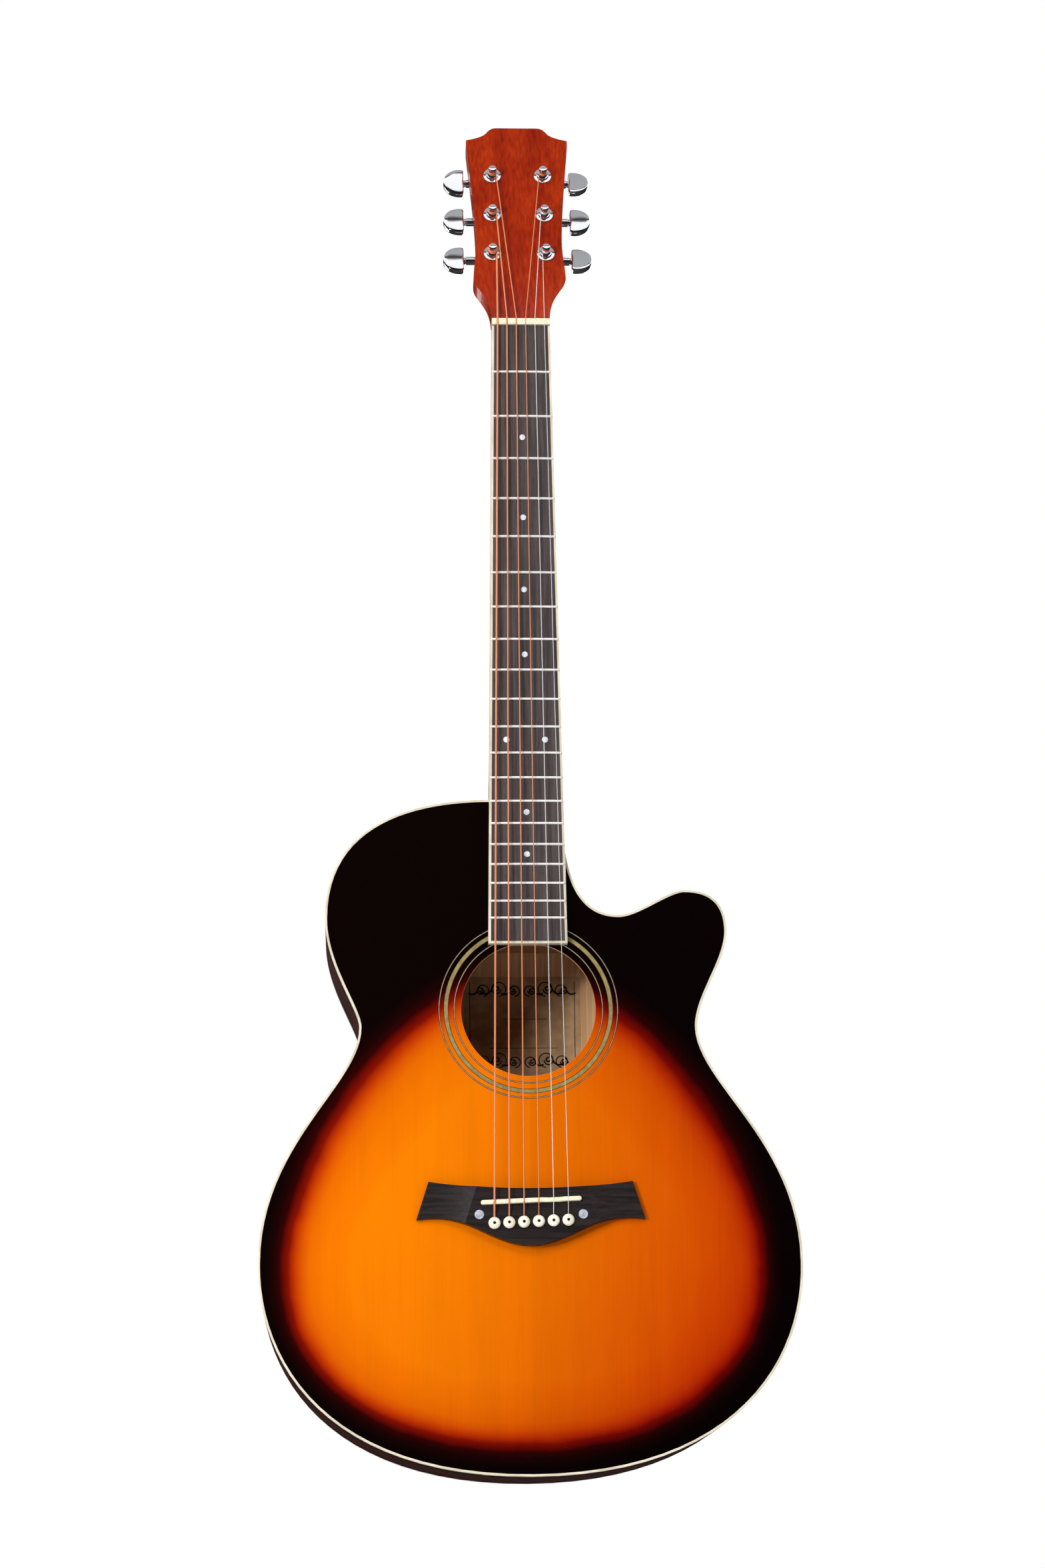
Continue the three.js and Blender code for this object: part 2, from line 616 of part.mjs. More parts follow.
function strings() {
  const toInstrument = new THREE.Matrix4()
    .makeTranslation(0, HEAD.start, HEAD.rise)
    .multiply(new THREE.Matrix4().makeRotationX(HEAD_TILT));
  const seats = tunerSeats();
  STRING_RADII.forEach((radius, i) => {
    const atSaddle = stringX(i, STRING_SPREAD.saddle);
    const atNut = stringX(i, STRING_SPREAD.nut);
    const crownDrop = 0.7 * Math.abs((i - 2.5) / 2.5);
    const saddleTop = SADDLE.top - crownDrop + radius + GAP;
    const half = SADDLE.width / 2;
    const nutTop = NUT.height - NUT.slot + radius + 0.1;
    // On the head the string passes on the inner side of its post.
    const { side, x, y } = seats[i];
    const wrap = side * (TUNER.postRadius + radius + GAP);
    const end = new THREE.Vector3(x - wrap, y - 1, 5.3).applyMatrix4(toInstrument);
    const down = pinY(atSaddle) + PIN.radius + radius + 0.1;
    const knots = [
      [end.x, end.y, end.z],
      [atNut, SCALE + NUT.length + 0.6, nutTop - 0.1],
      [atNut, SCALE, nutTop],
      [atSaddle, saddleY(atSaddle) + half, saddleTop],
      [atSaddle, saddleY(atSaddle) - half, saddleTop - 0.2],
      [atSaddle, down + 0.6, BRIDGE.height + radius + 0.6],
      [atSaddle, down, BRIDGE.height - 1],
      [atSaddle, down, PIN.bottom + 2],
    ];
    add(`string_${i + 1}`, wire(knots, radius), i < 4 ? "bronze" : "steel");
  });
}

body();
blocksAndLinings();
braces();
neck();
fretboard();
bridge();
bridgePins();
tuners();
strings();

instrument.rotation.x = Math.PI / 2;
instrument.position.set(0, HANGER.z, -HANGER.y);

const guitar = new THREE.Group();
guitar.add(instrument);
export default guitar;
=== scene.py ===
# %% [markdown]
# # A steel-string acoustic guitar with a sunburst top
#
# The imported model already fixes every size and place: it is a bench jig that nothing may move.
# This lesson builds the fine shapes and the finishes round it, piece by piece, in the order a
# luthier would meet them: body, neck, fingerboard, bridge, machine heads and strings.

# %% Load the jig
import math

import bmesh
import bpy
from mathutils import Matrix, Vector


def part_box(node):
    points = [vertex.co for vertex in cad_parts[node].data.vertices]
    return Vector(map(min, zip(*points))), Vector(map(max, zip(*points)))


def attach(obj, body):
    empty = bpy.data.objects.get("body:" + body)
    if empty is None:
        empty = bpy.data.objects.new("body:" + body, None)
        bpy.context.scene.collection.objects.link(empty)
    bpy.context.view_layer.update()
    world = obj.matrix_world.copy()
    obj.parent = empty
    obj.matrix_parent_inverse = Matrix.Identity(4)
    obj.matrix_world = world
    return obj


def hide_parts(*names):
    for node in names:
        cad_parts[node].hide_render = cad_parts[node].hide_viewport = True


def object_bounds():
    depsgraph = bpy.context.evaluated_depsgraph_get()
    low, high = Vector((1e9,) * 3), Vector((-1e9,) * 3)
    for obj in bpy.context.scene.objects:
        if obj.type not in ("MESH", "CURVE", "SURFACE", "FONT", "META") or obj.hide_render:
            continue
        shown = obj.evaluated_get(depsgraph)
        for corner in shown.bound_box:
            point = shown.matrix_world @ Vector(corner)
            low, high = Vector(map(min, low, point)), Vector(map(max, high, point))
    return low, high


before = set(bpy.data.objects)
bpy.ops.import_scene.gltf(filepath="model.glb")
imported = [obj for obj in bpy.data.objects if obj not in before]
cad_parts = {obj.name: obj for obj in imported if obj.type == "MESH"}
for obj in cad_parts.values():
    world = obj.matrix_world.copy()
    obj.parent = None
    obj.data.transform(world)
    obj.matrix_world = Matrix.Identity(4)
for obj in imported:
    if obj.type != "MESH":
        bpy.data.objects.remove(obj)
JIG_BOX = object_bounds()
print("jig:", len(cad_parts), "nodes,", [round(c, 3) for c in JIG_BOX[1] - JIG_BOX[0]])

# %% [markdown]
# A luthier measures in millimetres from the saddle line: x across to the treble side, y up the
# neck, z out of the soundboard. One matrix takes those numbers to the jig's metres, so every
# piece below is drawn in workshop sizes and then placed once. The head has a matrix of its own,
# because its face leans back from the nut.

# %% The instrument's own measure
SCALE = 650.0  # from the saddle line to the front edge of the nut
NUT_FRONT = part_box("nut")[0].z
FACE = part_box("top")[0].y  # the soundboard looks along -Y

INSTRUMENT = Matrix(
    (
        (0.001, 0, 0, 0),
        (0, 0, -0.001, FACE),
        (0, 0.001, 0, NUT_FRONT - 0.001 * SCALE),
        (0, 0, 0, 1),
    )
)
HEAD_START, HEAD_RISE, HEAD_TILT = 655.0, 5.5, math.radians(13)
ON_HEAD = (
    INSTRUMENT
    @ Matrix.Translation((0, HEAD_START, HEAD_RISE))
    @ Matrix.Rotation(-HEAD_TILT, 4, "X")
)
print("tail at", round((INSTRUMENT @ Vector((0, -182.9, 0))).z, 4), "m")

# %% [markdown]
# The camera stands a little to the bass side and well below the middle, looking up the neck.
# A long lens keeps the body's outline true. Its roll is the small lean of the instrument.

# %% Camera
CAMERA_PLACE = Vector((-0.1219, -2.4955, -0.9876))
CAMERA_AIM = Vector((0.0465, 0.9691, 0.2424))
CAMERA_ROLL = math.radians(-0.65)

camera = bpy.data.objects.new("camera", bpy.data.cameras.new("camera"))
bpy.context.scene.collection.objects.link(camera)
camera.data.sensor_width, camera.data.lens = 36, 82.65
aim = CAMERA_AIM.to_track_quat("-Z", "Y").to_matrix() @ Matrix.Rotation(CAMERA_ROLL, 3, "Z")
camera.matrix_world = Matrix.LocRotScale(CAMERA_PLACE, aim.to_quaternion(), None)
bpy.context.scene.camera = camera
print("camera lens", camera.data.lens, "mm")

# %% [markdown]
# Shader sums read best as plain arithmetic. `Flow` wraps one socket, and adding, dividing or
# comparing two of them lays down the Math node that does it. Everything that is not a sum comes
# from one method, `Finish.node`, which takes a node's type, its settings and its inputs.


# %% Sums on sockets
def operator(operation, reflected=False):
    """One overloaded operator; a reflected one has its number on the left, as in 1 - mask."""
    def apply(self, other):
        return self.sum(operation, *((other, self) if reflected else (self, other)))
    return apply


class Flow:
    """A value that varies over a surface: a socket that can be added, multiplied, compared."""

    def __init__(self, finish, socket):
        self.finish, self.socket = finish, socket

    def sum(self, operation, *values):
        return self.finish.node("ShaderNodeMath", {"operation": operation}, *values)

    __add__ = __radd__ = operator("ADD")
    __mul__ = __rmul__ = operator("MULTIPLY")
    __sub__, __rsub__ = operator("SUBTRACT"), operator("SUBTRACT", reflected=True)
    __truediv__, __rtruediv__ = operator("DIVIDE"), operator("DIVIDE", reflected=True)
    __pow__, __lt__, __gt__ = operator("POWER"), operator("LESS_THAN"), operator("GREATER_THAN")

    def __abs__(self):
        return self.sum("ABSOLUTE", self)

    def fade(self, start, end):
        """0 at start, 1 at end, and smooth between them."""
        settings = {"interpolation_type": "SMOOTHSTEP"}
        return self.finish.node("ShaderNodeMapRange", settings, self, start, end)


print("sums: + - * / take a number on either side; ** < > abs take the wrapped value first")

# %% [markdown]
# `Finish` is one material: a Principled shader, and helpers for what wood and metal need, which
# are grain from stretched noise, colour ramps, colour mixes and a bump. Positions come from
# Object coordinates turned back into workshop millimetres, so a pattern sits still on its piece.


# %% Materials
def tint(red, green, blue):
    """A colour from 0 to 255 as the eye reads it, made linear for the shader."""
    shares = [channel / 255 for channel in (red, green, blue)]
    return (*[s / 12.92 if s < 0.04045 else ((s + 0.055) / 1.055) ** 2.4 for s in shares], 1)


class Finish:
    """One material. Keyword arguments are uniform values set on the shader's own sockets."""

    def __init__(self, name, **uniform):
        self.material = bpy.data.materials.new(name)
        self.material.use_nodes = True
        self.tree = self.material.node_tree
        self.shader = self.tree.nodes["Principled BSDF"]
        for socket, value in uniform.items():
            self.shader.inputs[socket.replace("_", " ")].default_value = value

    def node(self, kind, settings=None, *values, output=0, **named):
        made = self.tree.nodes.new(kind)
        for key, value in (settings or {}).items():
            if key == "stops":
                self.set_stops(made.color_ramp, value)
            else:
                setattr(made, key, value)
        for key, value in [*enumerate(values), *named.items()]:
            socket = made.inputs[key.replace("_", " ") if isinstance(key, str) else key]
            if isinstance(value, Flow):
                self.tree.links.new(value.socket, socket)
            else:
                socket.default_value = value
        return Flow(self, made.outputs[output])

    @staticmethod
    def set_stops(ramp, stops):
        while len(ramp.elements) < len(stops):
            ramp.elements.new(0.5)
        for element, (position, colour) in zip(ramp.elements, sorted(stops)):
            element.position, element.color = position, colour

    def place(self):
        """x, y, z in workshop millimetres, as three values."""
        spot = self.node("ShaderNodeTexCoord", None, output=3)
        split = self.node("ShaderNodeSeparateXYZ", None, spot)
        x, across, up = (Flow(self, split.socket.node.outputs[i]) for i in range(3))
        return x * 1000, (up - NUT_FRONT) * 1000 + SCALE, (FACE - across) * 1000

    def noise(self, x, y, z, detail=3.0, roughness=0.5):
        """Smooth noise from 0 to 1 over three values; a small factor stretches it that way."""
        spot = self.node("ShaderNodeCombineXYZ", None, x, y, z)
        return self.node(
            "ShaderNodeTexNoise", None, Vector=spot, Scale=1.0, Detail=detail, Roughness=roughness
        )

    def ramp(self, value, stops):
        return self.node("ShaderNodeValToRGB", {"stops": stops}, value)

    def blend(self, share, first, second, mode="MIX"):
        settings = {"data_type": "RGBA", "blend_type": mode}
        mixed = self.node("ShaderNodeMix", settings)
        node = mixed.socket.node
        for index, value in ((0, share), (6, first), (7, second)):
            if isinstance(value, Flow):
                self.tree.links.new(value.socket, node.inputs[index])
            else:
                node.inputs[index].default_value = value
        return Flow(self, node.outputs[2])

    def feed(self, **sockets):
        for socket, value in sockets.items():
            self.tree.links.new(value.socket, self.shader.inputs[socket.replace("_", " ")])
        return self

    def bump(self, height, depth, strength=1.0):
        """Raise the surface by height times depth, in metres."""
        made = self.node("ShaderNodeBump", None, Strength=strength, Distance=depth, Height=height)
        return self.feed(Normal=made)


print("middle grey, made linear:", round(tint(128, 128, 128)[0], 3))

# %% [markdown]
# The soundboard is spruce, sprayed amber in the middle and fading through red to black at the
# rim. The painter swings the gun round a rounded shape that sits low on the body, so the fade
# does not follow the outline: it leaves the whole upper bout dark. A ramp over the distance
# from that shape gives the colour. It could be an image, but a formula stays sharp at any size.

# %% Sunburst lacquer over spruce
SOUNDHOLE_Y, SOUNDHOLE_RADIUS = 140.3, 47.3
BURST_X, BURST_Y = -4.4, -39.9  # the middle of the amber
BURST_HALF_WIDTH, BURST_LOW, BURST_HIGH = 163.5, 120.8, 203.3
BURST_BELOW, BURST_ABOVE = 2.2, 1.65  # how square the amber is below and above its middle
FADE_WIDTH, FADE_EXTRA, FADE_RISE = 60, 24, 130  # the fade is wider towards the neck
MIST = 5  # how far the sprayed edge wanders
UNDERSIDE, LIP = -1.5, 0.12  # bare wood starts below this height, and this far past the hole
NO_ZERO = 1e-6

burst = Finish("sunburst_lacquer", Roughness=0.3, Specular_IOR_Level=0.06, Coat_Weight=0.4,
               Coat_Roughness=0.03)
x, y, z = burst.place()
right, up = x - BURST_X, y - BURST_Y
above = up > 0
power = above * (BURST_ABOVE - BURST_BELOW) + BURST_BELOW
reach = above * (BURST_HIGH - BURST_LOW) + BURST_LOW
swell = (
    (abs(right) / BURST_HALF_WIDTH) ** power + (abs(up) / reach) ** power + NO_ZERO
) ** (1 / power)
distance = (right * right + up * up + NO_ZERO) ** 0.5 * (1 - 1 / swell)
mist = burst.noise(x * 0.03, y * 0.03, 0.0)
fade_width = FADE_WIDTH + up.fade(0, FADE_RISE) * FADE_EXTRA
share = (distance + (mist - 0.5) * MIST) / fade_width + 0.73
amber = [
    (0.0, (246, 120, 1)), (0.18, (242, 113, 0)), (0.33, (238, 110, 0)), (0.5, (229, 99, 0)),
    (0.585, (216, 81, 1)), (0.665, (188, 50, 1)), (0.735, (128, 13, 1)), (0.83, (48, 1, 1)),
    (0.9, (26, 1, 1)), (1.0, (10, 1, 1)),
]
sprayed = burst.ramp(share, [(stop, tint(*colour)) for stop, colour in amber])
lines = burst.noise(x * 1.1, y * 0.012, 0.0, detail=2.0)
broad = burst.noise(x * 0.09, y * 0.006, 4.0)
grain = (lines - 0.5) * 0.09 + (broad - 0.5) * 0.11
# painted shade: the top is darkened and reddened towards the treble side, as light from the left
# would leave it, and is a step darker past the middle seam; it is also a little darker towards the
# tail. light and green carry the grain together with this painted shade
seam = (x > 0) * 0.03
light = 0.87 + grain - seam - x.fade(-150, 190) * 0.26 - y.fade(20, -160) * 0.1
green = light - x.fade(-100, 190) * 0.42 - y.fade(20, -160) * 0.1 + 0.13
grain_and_painted_shade = burst.node("ShaderNodeCombineColor", None, light, green, light)
burst_with_painted_shade = burst.blend(1.0, sprayed, grain_and_painted_shade, "MULTIPLY")
from_hole = (x * x + (y - SOUNDHOLE_Y) * (y - SOUNDHOLE_Y)) ** 0.5
bare = burst.blend(lines, tint(196, 140, 92), tint(226, 180, 130))
under = z < UNDERSIDE
edge = from_hole < SOUNDHOLE_RADIUS + LIP
burst.feed(Base_Color=burst.blend(edge.sum("MAXIMUM", edge, under), burst_with_painted_shade, bare))
burst.bump(lines, 0.00002, 0.5)
print("sunburst:", len(burst.tree.nodes), "nodes")

# %% [markdown]
# Mahogany under a glossy red-brown stain clothes the neck, the head, the sides and the back.
# Its pores are short dark strokes along the grain, which runs up the neck on every board. One
# function makes each board its own finish, and `matched` mirrors it about the middle, as two
# leaves cut from one plank are opened like a book. The sides are sprayed dark at both rims.


# %% Stained mahogany
DEPTH = 96.0  # of the body, face to back
LEAF = 31  # where in the plank the matched leaves start


def mahogany(name, dark, middle, pale, matched=False):
    wood = Finish(name, Specular_IOR_Level=0.1, Coat_Weight=0.4, Coat_Roughness=0.03)
    x, y, z = wood.place()
    if matched:
        x = abs(x) + LEAF
    bands = wood.noise(x * 0.07, z * 0.07, y * 0.004, detail=4.0)
    streaks = wood.noise(x * 0.55, z * 0.55, y * 0.014, detail=3.0)
    pores = wood.noise(x * 3.2, z * 3.2, y * 0.11, detail=1.0)
    strokes = pores.fade(0.6, 0.72)
    share = bands * 0.65 + streaks * 0.55 - 0.1
    stops = [(0.3, tint(*dark)), (0.5, tint(*middle)), (0.72, tint(*pale))]
    stained = wood.ramp(share, stops)
    wood.feed(
        Base_Color=wood.blend(strokes * 0.35, stained, tint(*[c * 0.45 for c in dark])),
        Roughness=strokes * 0.15 + 0.22,
    )
    return wood.bump(1 - strokes, 0.00002, 0.4)


def shade_rims(wood):
    """Spray the rims of the sides towards black, front and back."""
    x, y, z = wood.place()
    from_middle = abs(z + DEPTH / 2)
    stained = Flow(wood, wood.shader.inputs["Base Color"].links[0].from_socket)
    sprayed = wood.blend(from_middle.fade(14, 40), stained, tint(9, 2, 1))
    return wood.feed(Base_Color=sprayed)


neck_finish = mahogany("stained_neck", (118, 22, 3), (152, 36, 2), (178, 54, 8))
side_finish = shade_rims(mahogany("stained_sides", (58, 14, 6), (88, 24, 10), (110, 36, 16)))
back_finish = mahogany("stained_back", (62, 15, 6), (98, 28, 12), (122, 42, 20), matched=True)
print("mahogany: 3 stains")

# %% [markdown]
# Rosewood is left nearly bare: the fingerboard is oiled, grey-brown and streaked, the bridge
# almost black with its grain running across. Both are duller than the lacquer, so they get
# more roughness and no coat.


# %% Bare rosewood
def rosewood(name, dark, pale, along):
    wood = Finish(name, Specular_IOR_Level=0.5)
    x, y, z = wood.place()
    across, length = (x, y) if along == "y" else (y, x)
    streaks = wood.noise(across * 0.42, z * 0.4, length * 0.012, detail=5.0, roughness=0.62)
    pores = wood.noise(across * 4.5, z * 3.0, length * 0.12, detail=2.0)
    strokes = pores.fade(0.56, 0.7)
    base = wood.ramp(streaks, [(0.36, tint(*dark)), (0.64, tint(*pale))])
    wood.feed(
        Base_Color=wood.blend(strokes * 0.6, base, tint(*[c * 0.4 for c in dark])),
        Roughness=strokes * 0.18 + 0.42,
    )
    return wood.bump(1 - strokes, 0.00006, 0.6)


board_finish = rosewood("fingerboard_rosewood", (56, 48, 48), (84, 74, 73), "y")
bridge_finish = rosewood("bridge_rosewood", (18, 12, 12), (42, 32, 32), "x")
print("rosewood: 2 boards")

# %% [markdown]
# The plastics, bone and pearl are pale and nearly plain, yet none is one flat colour: bindings
# yellow in clouds, bone has faint growth lines, and pearl shifts from grey to blue-white.


# %% Bindings, bone, pearl and inlay
def cloudy(name, first, second, scale, roughness, coat=0.0):
    """A pale stuff whose colour drifts between two tones over clouds of the given scale."""
    stuff = Finish(name, Coat_Weight=coat, Coat_Roughness=0.08)
    x, y, z = stuff.place()
    clouds = stuff.noise(x * scale, y * scale, z * scale, detail=4.0)
    fine = stuff.noise(x * scale * 6, y * scale * 6, z * scale * 6)
    stuff.feed(
        Base_Color=stuff.ramp(clouds, [(0.35, tint(*first)), (0.65, tint(*second))]),
        Roughness=fine * 0.12 + roughness,
    )
    return stuff.bump(fine, 0.00001, 0.3)


binding_finish = cloudy("cream_binding", (204, 194, 170), (228, 219, 198), 0.05, 0.25, 0.4)
bone_finish = cloudy("saddle_bone", (226, 218, 186), (240, 234, 210), 0.35, 0.34)
pin_finish = cloudy("pin_plastic", (232, 224, 200), (246, 240, 224), 0.2, 0.22, 0.3)
pearl_finish = cloudy("pearl_dot", (196, 206, 218), (236, 240, 246), 0.55, 0.16, 0.6)
shell_finish = cloudy("grey_shell", (154, 160, 172), (192, 197, 208), 0.4, 0.2, 0.6)
ink_finish = cloudy("black_dot", (10, 9, 9), (22, 20, 20), 0.5, 0.3)
inlay_finish = cloudy("olive_ring", (128, 112, 66), (152, 137, 88), 0.25, 0.4)
thin_finish = cloudy("pale_ring", (148, 134, 106), (174, 158, 128), 0.3, 0.4)
label_finish = cloudy("label_paper", (178, 142, 104), (200, 164, 122), 0.12, 0.8)
print("pale stuffs: 9")

# %% [markdown]
# Chrome is a mirror: its look is all in what it reflects, so it gets a clean metal shader with a
# breath of polish marks. Frets and strings are too thin to mirror much, so `shine` keeps only a
# part of the metal in them. The bass strings are wound with copper in fine turns, which a sine
# along the string raises as ridges.


# %% Metals
def metal(name, colour, roughness, marks, turns=0.0, shine=1.0):
    """A metal with polish marks; turns is the pitch in millimetres of a winding along y, and
    shine is the share of bare metal in its look."""
    plate = Finish(name, Metallic=shine)
    x, y, z = plate.place()
    rubbed = plate.noise(x * 0.8, y * 0.8, z * 0.8, detail=5.0)
    worn = plate.blend(rubbed * marks, tint(*colour), tint(*[c * 0.72 for c in colour]))
    plate.feed(Base_Color=worn, Roughness=rubbed * marks * 0.4 + roughness)
    if turns:
        wave = y * (math.tau / turns)
        return plate.bump(wave.sum("SINE", wave), 0.00005, 0.3)
    return plate.bump(rubbed, 0.00001, 0.2)


chrome_finish = metal("polished_chrome", (240, 241, 246), 0.05, 0.12)
fret_finish = metal("nickel_silver", (255, 254, 250), 0.36, 0.1, shine=0.25)
steel_finish = metal("plain_steel", (160, 160, 164), 0.3, 0.4)
plain_finish = metal("string_steel", (252, 248, 248), 0.35, 0.1, shine=0.2)
wound_finish = metal("copper_winding", (244, 158, 118), 0.4, 0.2, turns=0.55, shine=0.3)
print("metals: 5")

# %% [markdown]
# Inside, nothing is lacquered. The braces, linings and blocks of the jig are already the right
# shape, so they stay as they are and only get raw wood, paler along the growth rings.


# %% Raw wood for the inside
def raw_wood(name, dark, pale, along):
    wood = Finish(name, Specular_IOR_Level=0.25)
    x, y, z = wood.place()
    across, length = (x, y) if along == "y" else (y, x)
    rings = wood.noise(across * 0.5, z * 0.5, length * 0.01, detail=4.0)
    wood.feed(
        Base_Color=wood.ramp(rings, [(0.35, tint(*dark)), (0.65, tint(*pale))]),
        Roughness=rings * 0.2 + 0.6,
    )
    return wood.bump(rings, 0.00005, 0.5)


brace_finish = raw_wood("raw_spruce", (176, 132, 86), (206, 164, 116), "x")
bare_finish = raw_wood("bare_plates", (214, 166, 118), (238, 196, 148), "y")
block_finish = raw_wood("raw_mahogany", (132, 78, 50), (160, 100, 66), "y")
KEPT_FINISHES = {
    "lining_top": brace_finish, "lining_back": brace_finish, "x_brace": brace_finish,
    "transverse_brace": brace_finish, "bridge_plate": brace_finish,
    "back_brace_upper": brace_finish, "back_brace_lower": brace_finish,
    "neck_block": block_finish, "tail_block": block_finish, "truss_rod": steel_finish,
}
for node, finish in KEPT_FINISHES.items():
    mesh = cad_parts[node].data
    mesh.materials.clear()
    mesh.materials.append(finish.material)
print("kept from the jig:", len(KEPT_FINISHES))

# %% [markdown]
# A luthier sets out every flat part with a template. `template` draws a closed outline as a
# Bezier curve and lifts it off as one flat face. Points could be typed in one by one, but a few
# handles hold a long, fair curve better, as a bent spline does on the bench.


# %% Outlines drawn as curves
def lifted(curve, gap):
    """A curve's mesh as a bmesh, with points closer than the gap merged; the curve is used up."""
    holder = bpy.data.objects.new(curve.name, curve)
    bm = bmesh.new()
    bm.from_mesh(holder.to_mesh())
    holder.to_mesh_clear()
    bpy.data.objects.remove(holder)
    bpy.data.curves.remove(curve)
    bmesh.ops.remove_doubles(bm, verts=bm.verts, dist=gap)
    return bm


def template(start, *runs, steps=12):
    """A flat face from a start point and runs: (x, y) is a line, six numbers are a curve."""
    knots = [Vector(start)] + [Vector(run[-2:]) for run in runs]
    if (knots[0] - knots[-1]).length < 1e-6:
        knots.pop()
    drawing = bpy.data.curves.new("drawing", "CURVE")
    drawing.dimensions, drawing.fill_mode, drawing.resolution_u = "2D", "NONE", steps
    spline = drawing.splines.new("BEZIER")
    spline.bezier_points.add(len(knots) - 1)
    spline.use_cyclic_u = True
    points = spline.bezier_points
    for point, knot in zip(points, knots):
        point.handle_left_type = point.handle_right_type = "FREE"
        point.co = point.handle_left = point.handle_right = knot.to_3d()
    for index, run in enumerate(runs):
        if len(run) == 6:
            points[index].handle_right = (*run[0:2], 0)
            points[(index + 1) % len(points)].handle_left = (*run[2:4], 0)
    bm = lifted(drawing, 0.001)
    bmesh.ops.contextual_create(bm, geom=bm.edges[:])
    bm.normal_update()
    if bm.faces[:][0].normal.z < 0:
        bmesh.ops.reverse_faces(bm, faces=bm.faces)
    return bm


trial = template((0, 0), (10, 0), (10, 10), (0, 10))
print("a 10 mm square template:", round(sum(face.calc_area() for face in trial.faces), 2), "mm2")
trial.free()

# %% [markdown]
# The other workshop moves turn a template or a profile into a solid. `thicken` makes a slab,
# `soften` rounds its edges, `turned` spins a profile as a lathe does, and `loft` stretches a
# skin over sections. Each is one or two bmesh operators, so the faces stay even and few.

# %% Slabs, rounded edges, turning and lofting
def thicken(bm, low, high):
    bmesh.ops.translate(bm, verts=bm.verts, vec=(0, 0, low))
    raised = bmesh.ops.extrude_face_region(bm, geom=bm.faces[:])["geom"]
    verts = [item for item in raised if isinstance(item, bmesh.types.BMVert)]
    bmesh.ops.translate(bm, verts=verts, vec=(0, 0, high - low))
    bmesh.ops.recalc_face_normals(bm, faces=bm.faces)
    return bm


def soften(bm, width, segments=3, chosen=lambda edge: True, corner=30):
    """Round the edges that turn by more than `corner` degrees, where `chosen` agrees."""
    edges = [edge for edge in bm.edges if len(edge.link_faces) == 2
             and edge.calc_face_angle(0) > math.radians(corner) and chosen(edge)]
    bmesh.ops.bevel(
        bm, geom=edges, offset=width, offset_type="OFFSET", segments=segments, profile=0.5,
        affect="EDGES", material=-1, clamp_overlap=True,
    )
    return bm


def higher_than(level):
    """Picks the edges that lie wholly above a level."""
    return lambda edge: all(vert.co.z > level for vert in edge.verts)


def sliced(bm, places):
    """Cut new edges across the piece at each x, and leave it whole."""
    for x in places:
        bmesh.ops.bisect_plane(bm, geom=[*bm.verts, *bm.edges, *bm.faces],
                               plane_co=(x, 0, 0), plane_no=(1, 0, 0))
    return bm


def turned(profile, steps=48):
    """Spin (radius, height) pairs about Z."""
    bm = bmesh.new()
    points = [bm.verts.new((radius, 0, height)) for radius, height in profile]
    rail = [bm.edges.new(pair) for pair in zip(points, points[1:])]
    bmesh.ops.spin(
        bm, geom=points + rail, cent=(0, 0, 0), axis=(0, 0, 1), dvec=(0, 0, 0),
        angle=math.tau, steps=steps, use_merge=True, use_duplicate=False,
    )
    bmesh.ops.remove_doubles(bm, verts=bm.verts, dist=0.0005)
    bmesh.ops.recalc_face_normals(bm, faces=bm.faces)
    return bm


def block(low, high):
    bm = bmesh.new()
    low, high = Vector(low), Vector(high)
    bmesh.ops.create_cube(bm, size=1)
    bmesh.ops.scale(bm, verts=bm.verts, vec=high - low)
    bmesh.ops.translate(bm, verts=bm.verts, vec=(low + high) / 2)
    return bm


def moved(bm, *steps):
    """Apply placing matrices in the order they are given."""
    for step in steps:
        bmesh.ops.transform(bm, matrix=step, verts=bm.verts)
    return bm


def shift(x, y, z):
    return Matrix.Translation((x, y, z))


def turn(degrees, axis):
    return Matrix.Rotation(math.radians(degrees), 4, axis)


def loft(sections):
    """Join closed sections of equal count with a skin, and close both ends."""
    bm = gather(*sections)
    rings = [list(face.edges) for face in bm.faces]
    bmesh.ops.delete(bm, geom=bm.faces[1:-1], context="FACES_ONLY")
    for first, second in zip(rings, rings[1:]):
        bmesh.ops.bridge_loops(bm, edges=first + second)
    bmesh.ops.recalc_face_normals(bm, faces=bm.faces)
    return bm


def gather(*parts):
    """Several bmeshes as one; the parts are used up."""
    whole = bmesh.new()
    for part in parts:
        sheet = bpy.data.meshes.new("part")
        part.to_mesh(sheet)
        part.free()
        whole.from_mesh(sheet)
        bpy.data.meshes.remove(sheet)
    whole.faces.ensure_lookup_table()
    return whole


trial = thicken(template((0, 0), (10, 0), (10, 10), (0, 10)), 0, 2)
print("the same square, 2 mm thick:", round(trial.calc_volume(), 2), "mm3")
trial.free()

# %% [markdown]
# Holes, grooves and sockets are drilled or sawn with a Boolean modifier. Its result is taken at
# once, so nothing stays live. Two tools that cross each other can leave an empty result, so
# a cross is drawn as one outline, and a cut that leaves nothing stops the script.

# %% Drilling and sawing
def shelved(bm, name):
    mesh = bpy.data.meshes.new(name)
    bm.to_mesh(mesh)
    bm.free()
    made = bpy.data.objects.new(name, mesh)
    bpy.context.scene.collection.objects.link(made)
    return made


def cut_away(blank, *tools):
    """Take the tools' shapes out of the blank, at once."""
    work, tool = shelved(blank, "blank"), shelved(gather(*tools), "tool")
    saw = work.modifiers.new("saw", "BOOLEAN")
    saw.object, saw.operation, saw.solver = tool, "DIFFERENCE", "EXACT"
    graph = bpy.context.evaluated_depsgraph_get()
    bm = bmesh.new()
    bm.from_mesh(work.evaluated_get(graph).to_mesh())
    for used in (work, tool):
        mesh = used.data
        bpy.data.objects.remove(used)
        bpy.data.meshes.remove(mesh)
    bmesh.ops.remove_doubles(bm, verts=bm.verts, dist=0.0005)
    if not bm.faces:
        raise ValueError("a cut has left nothing of its blank")
    return bm


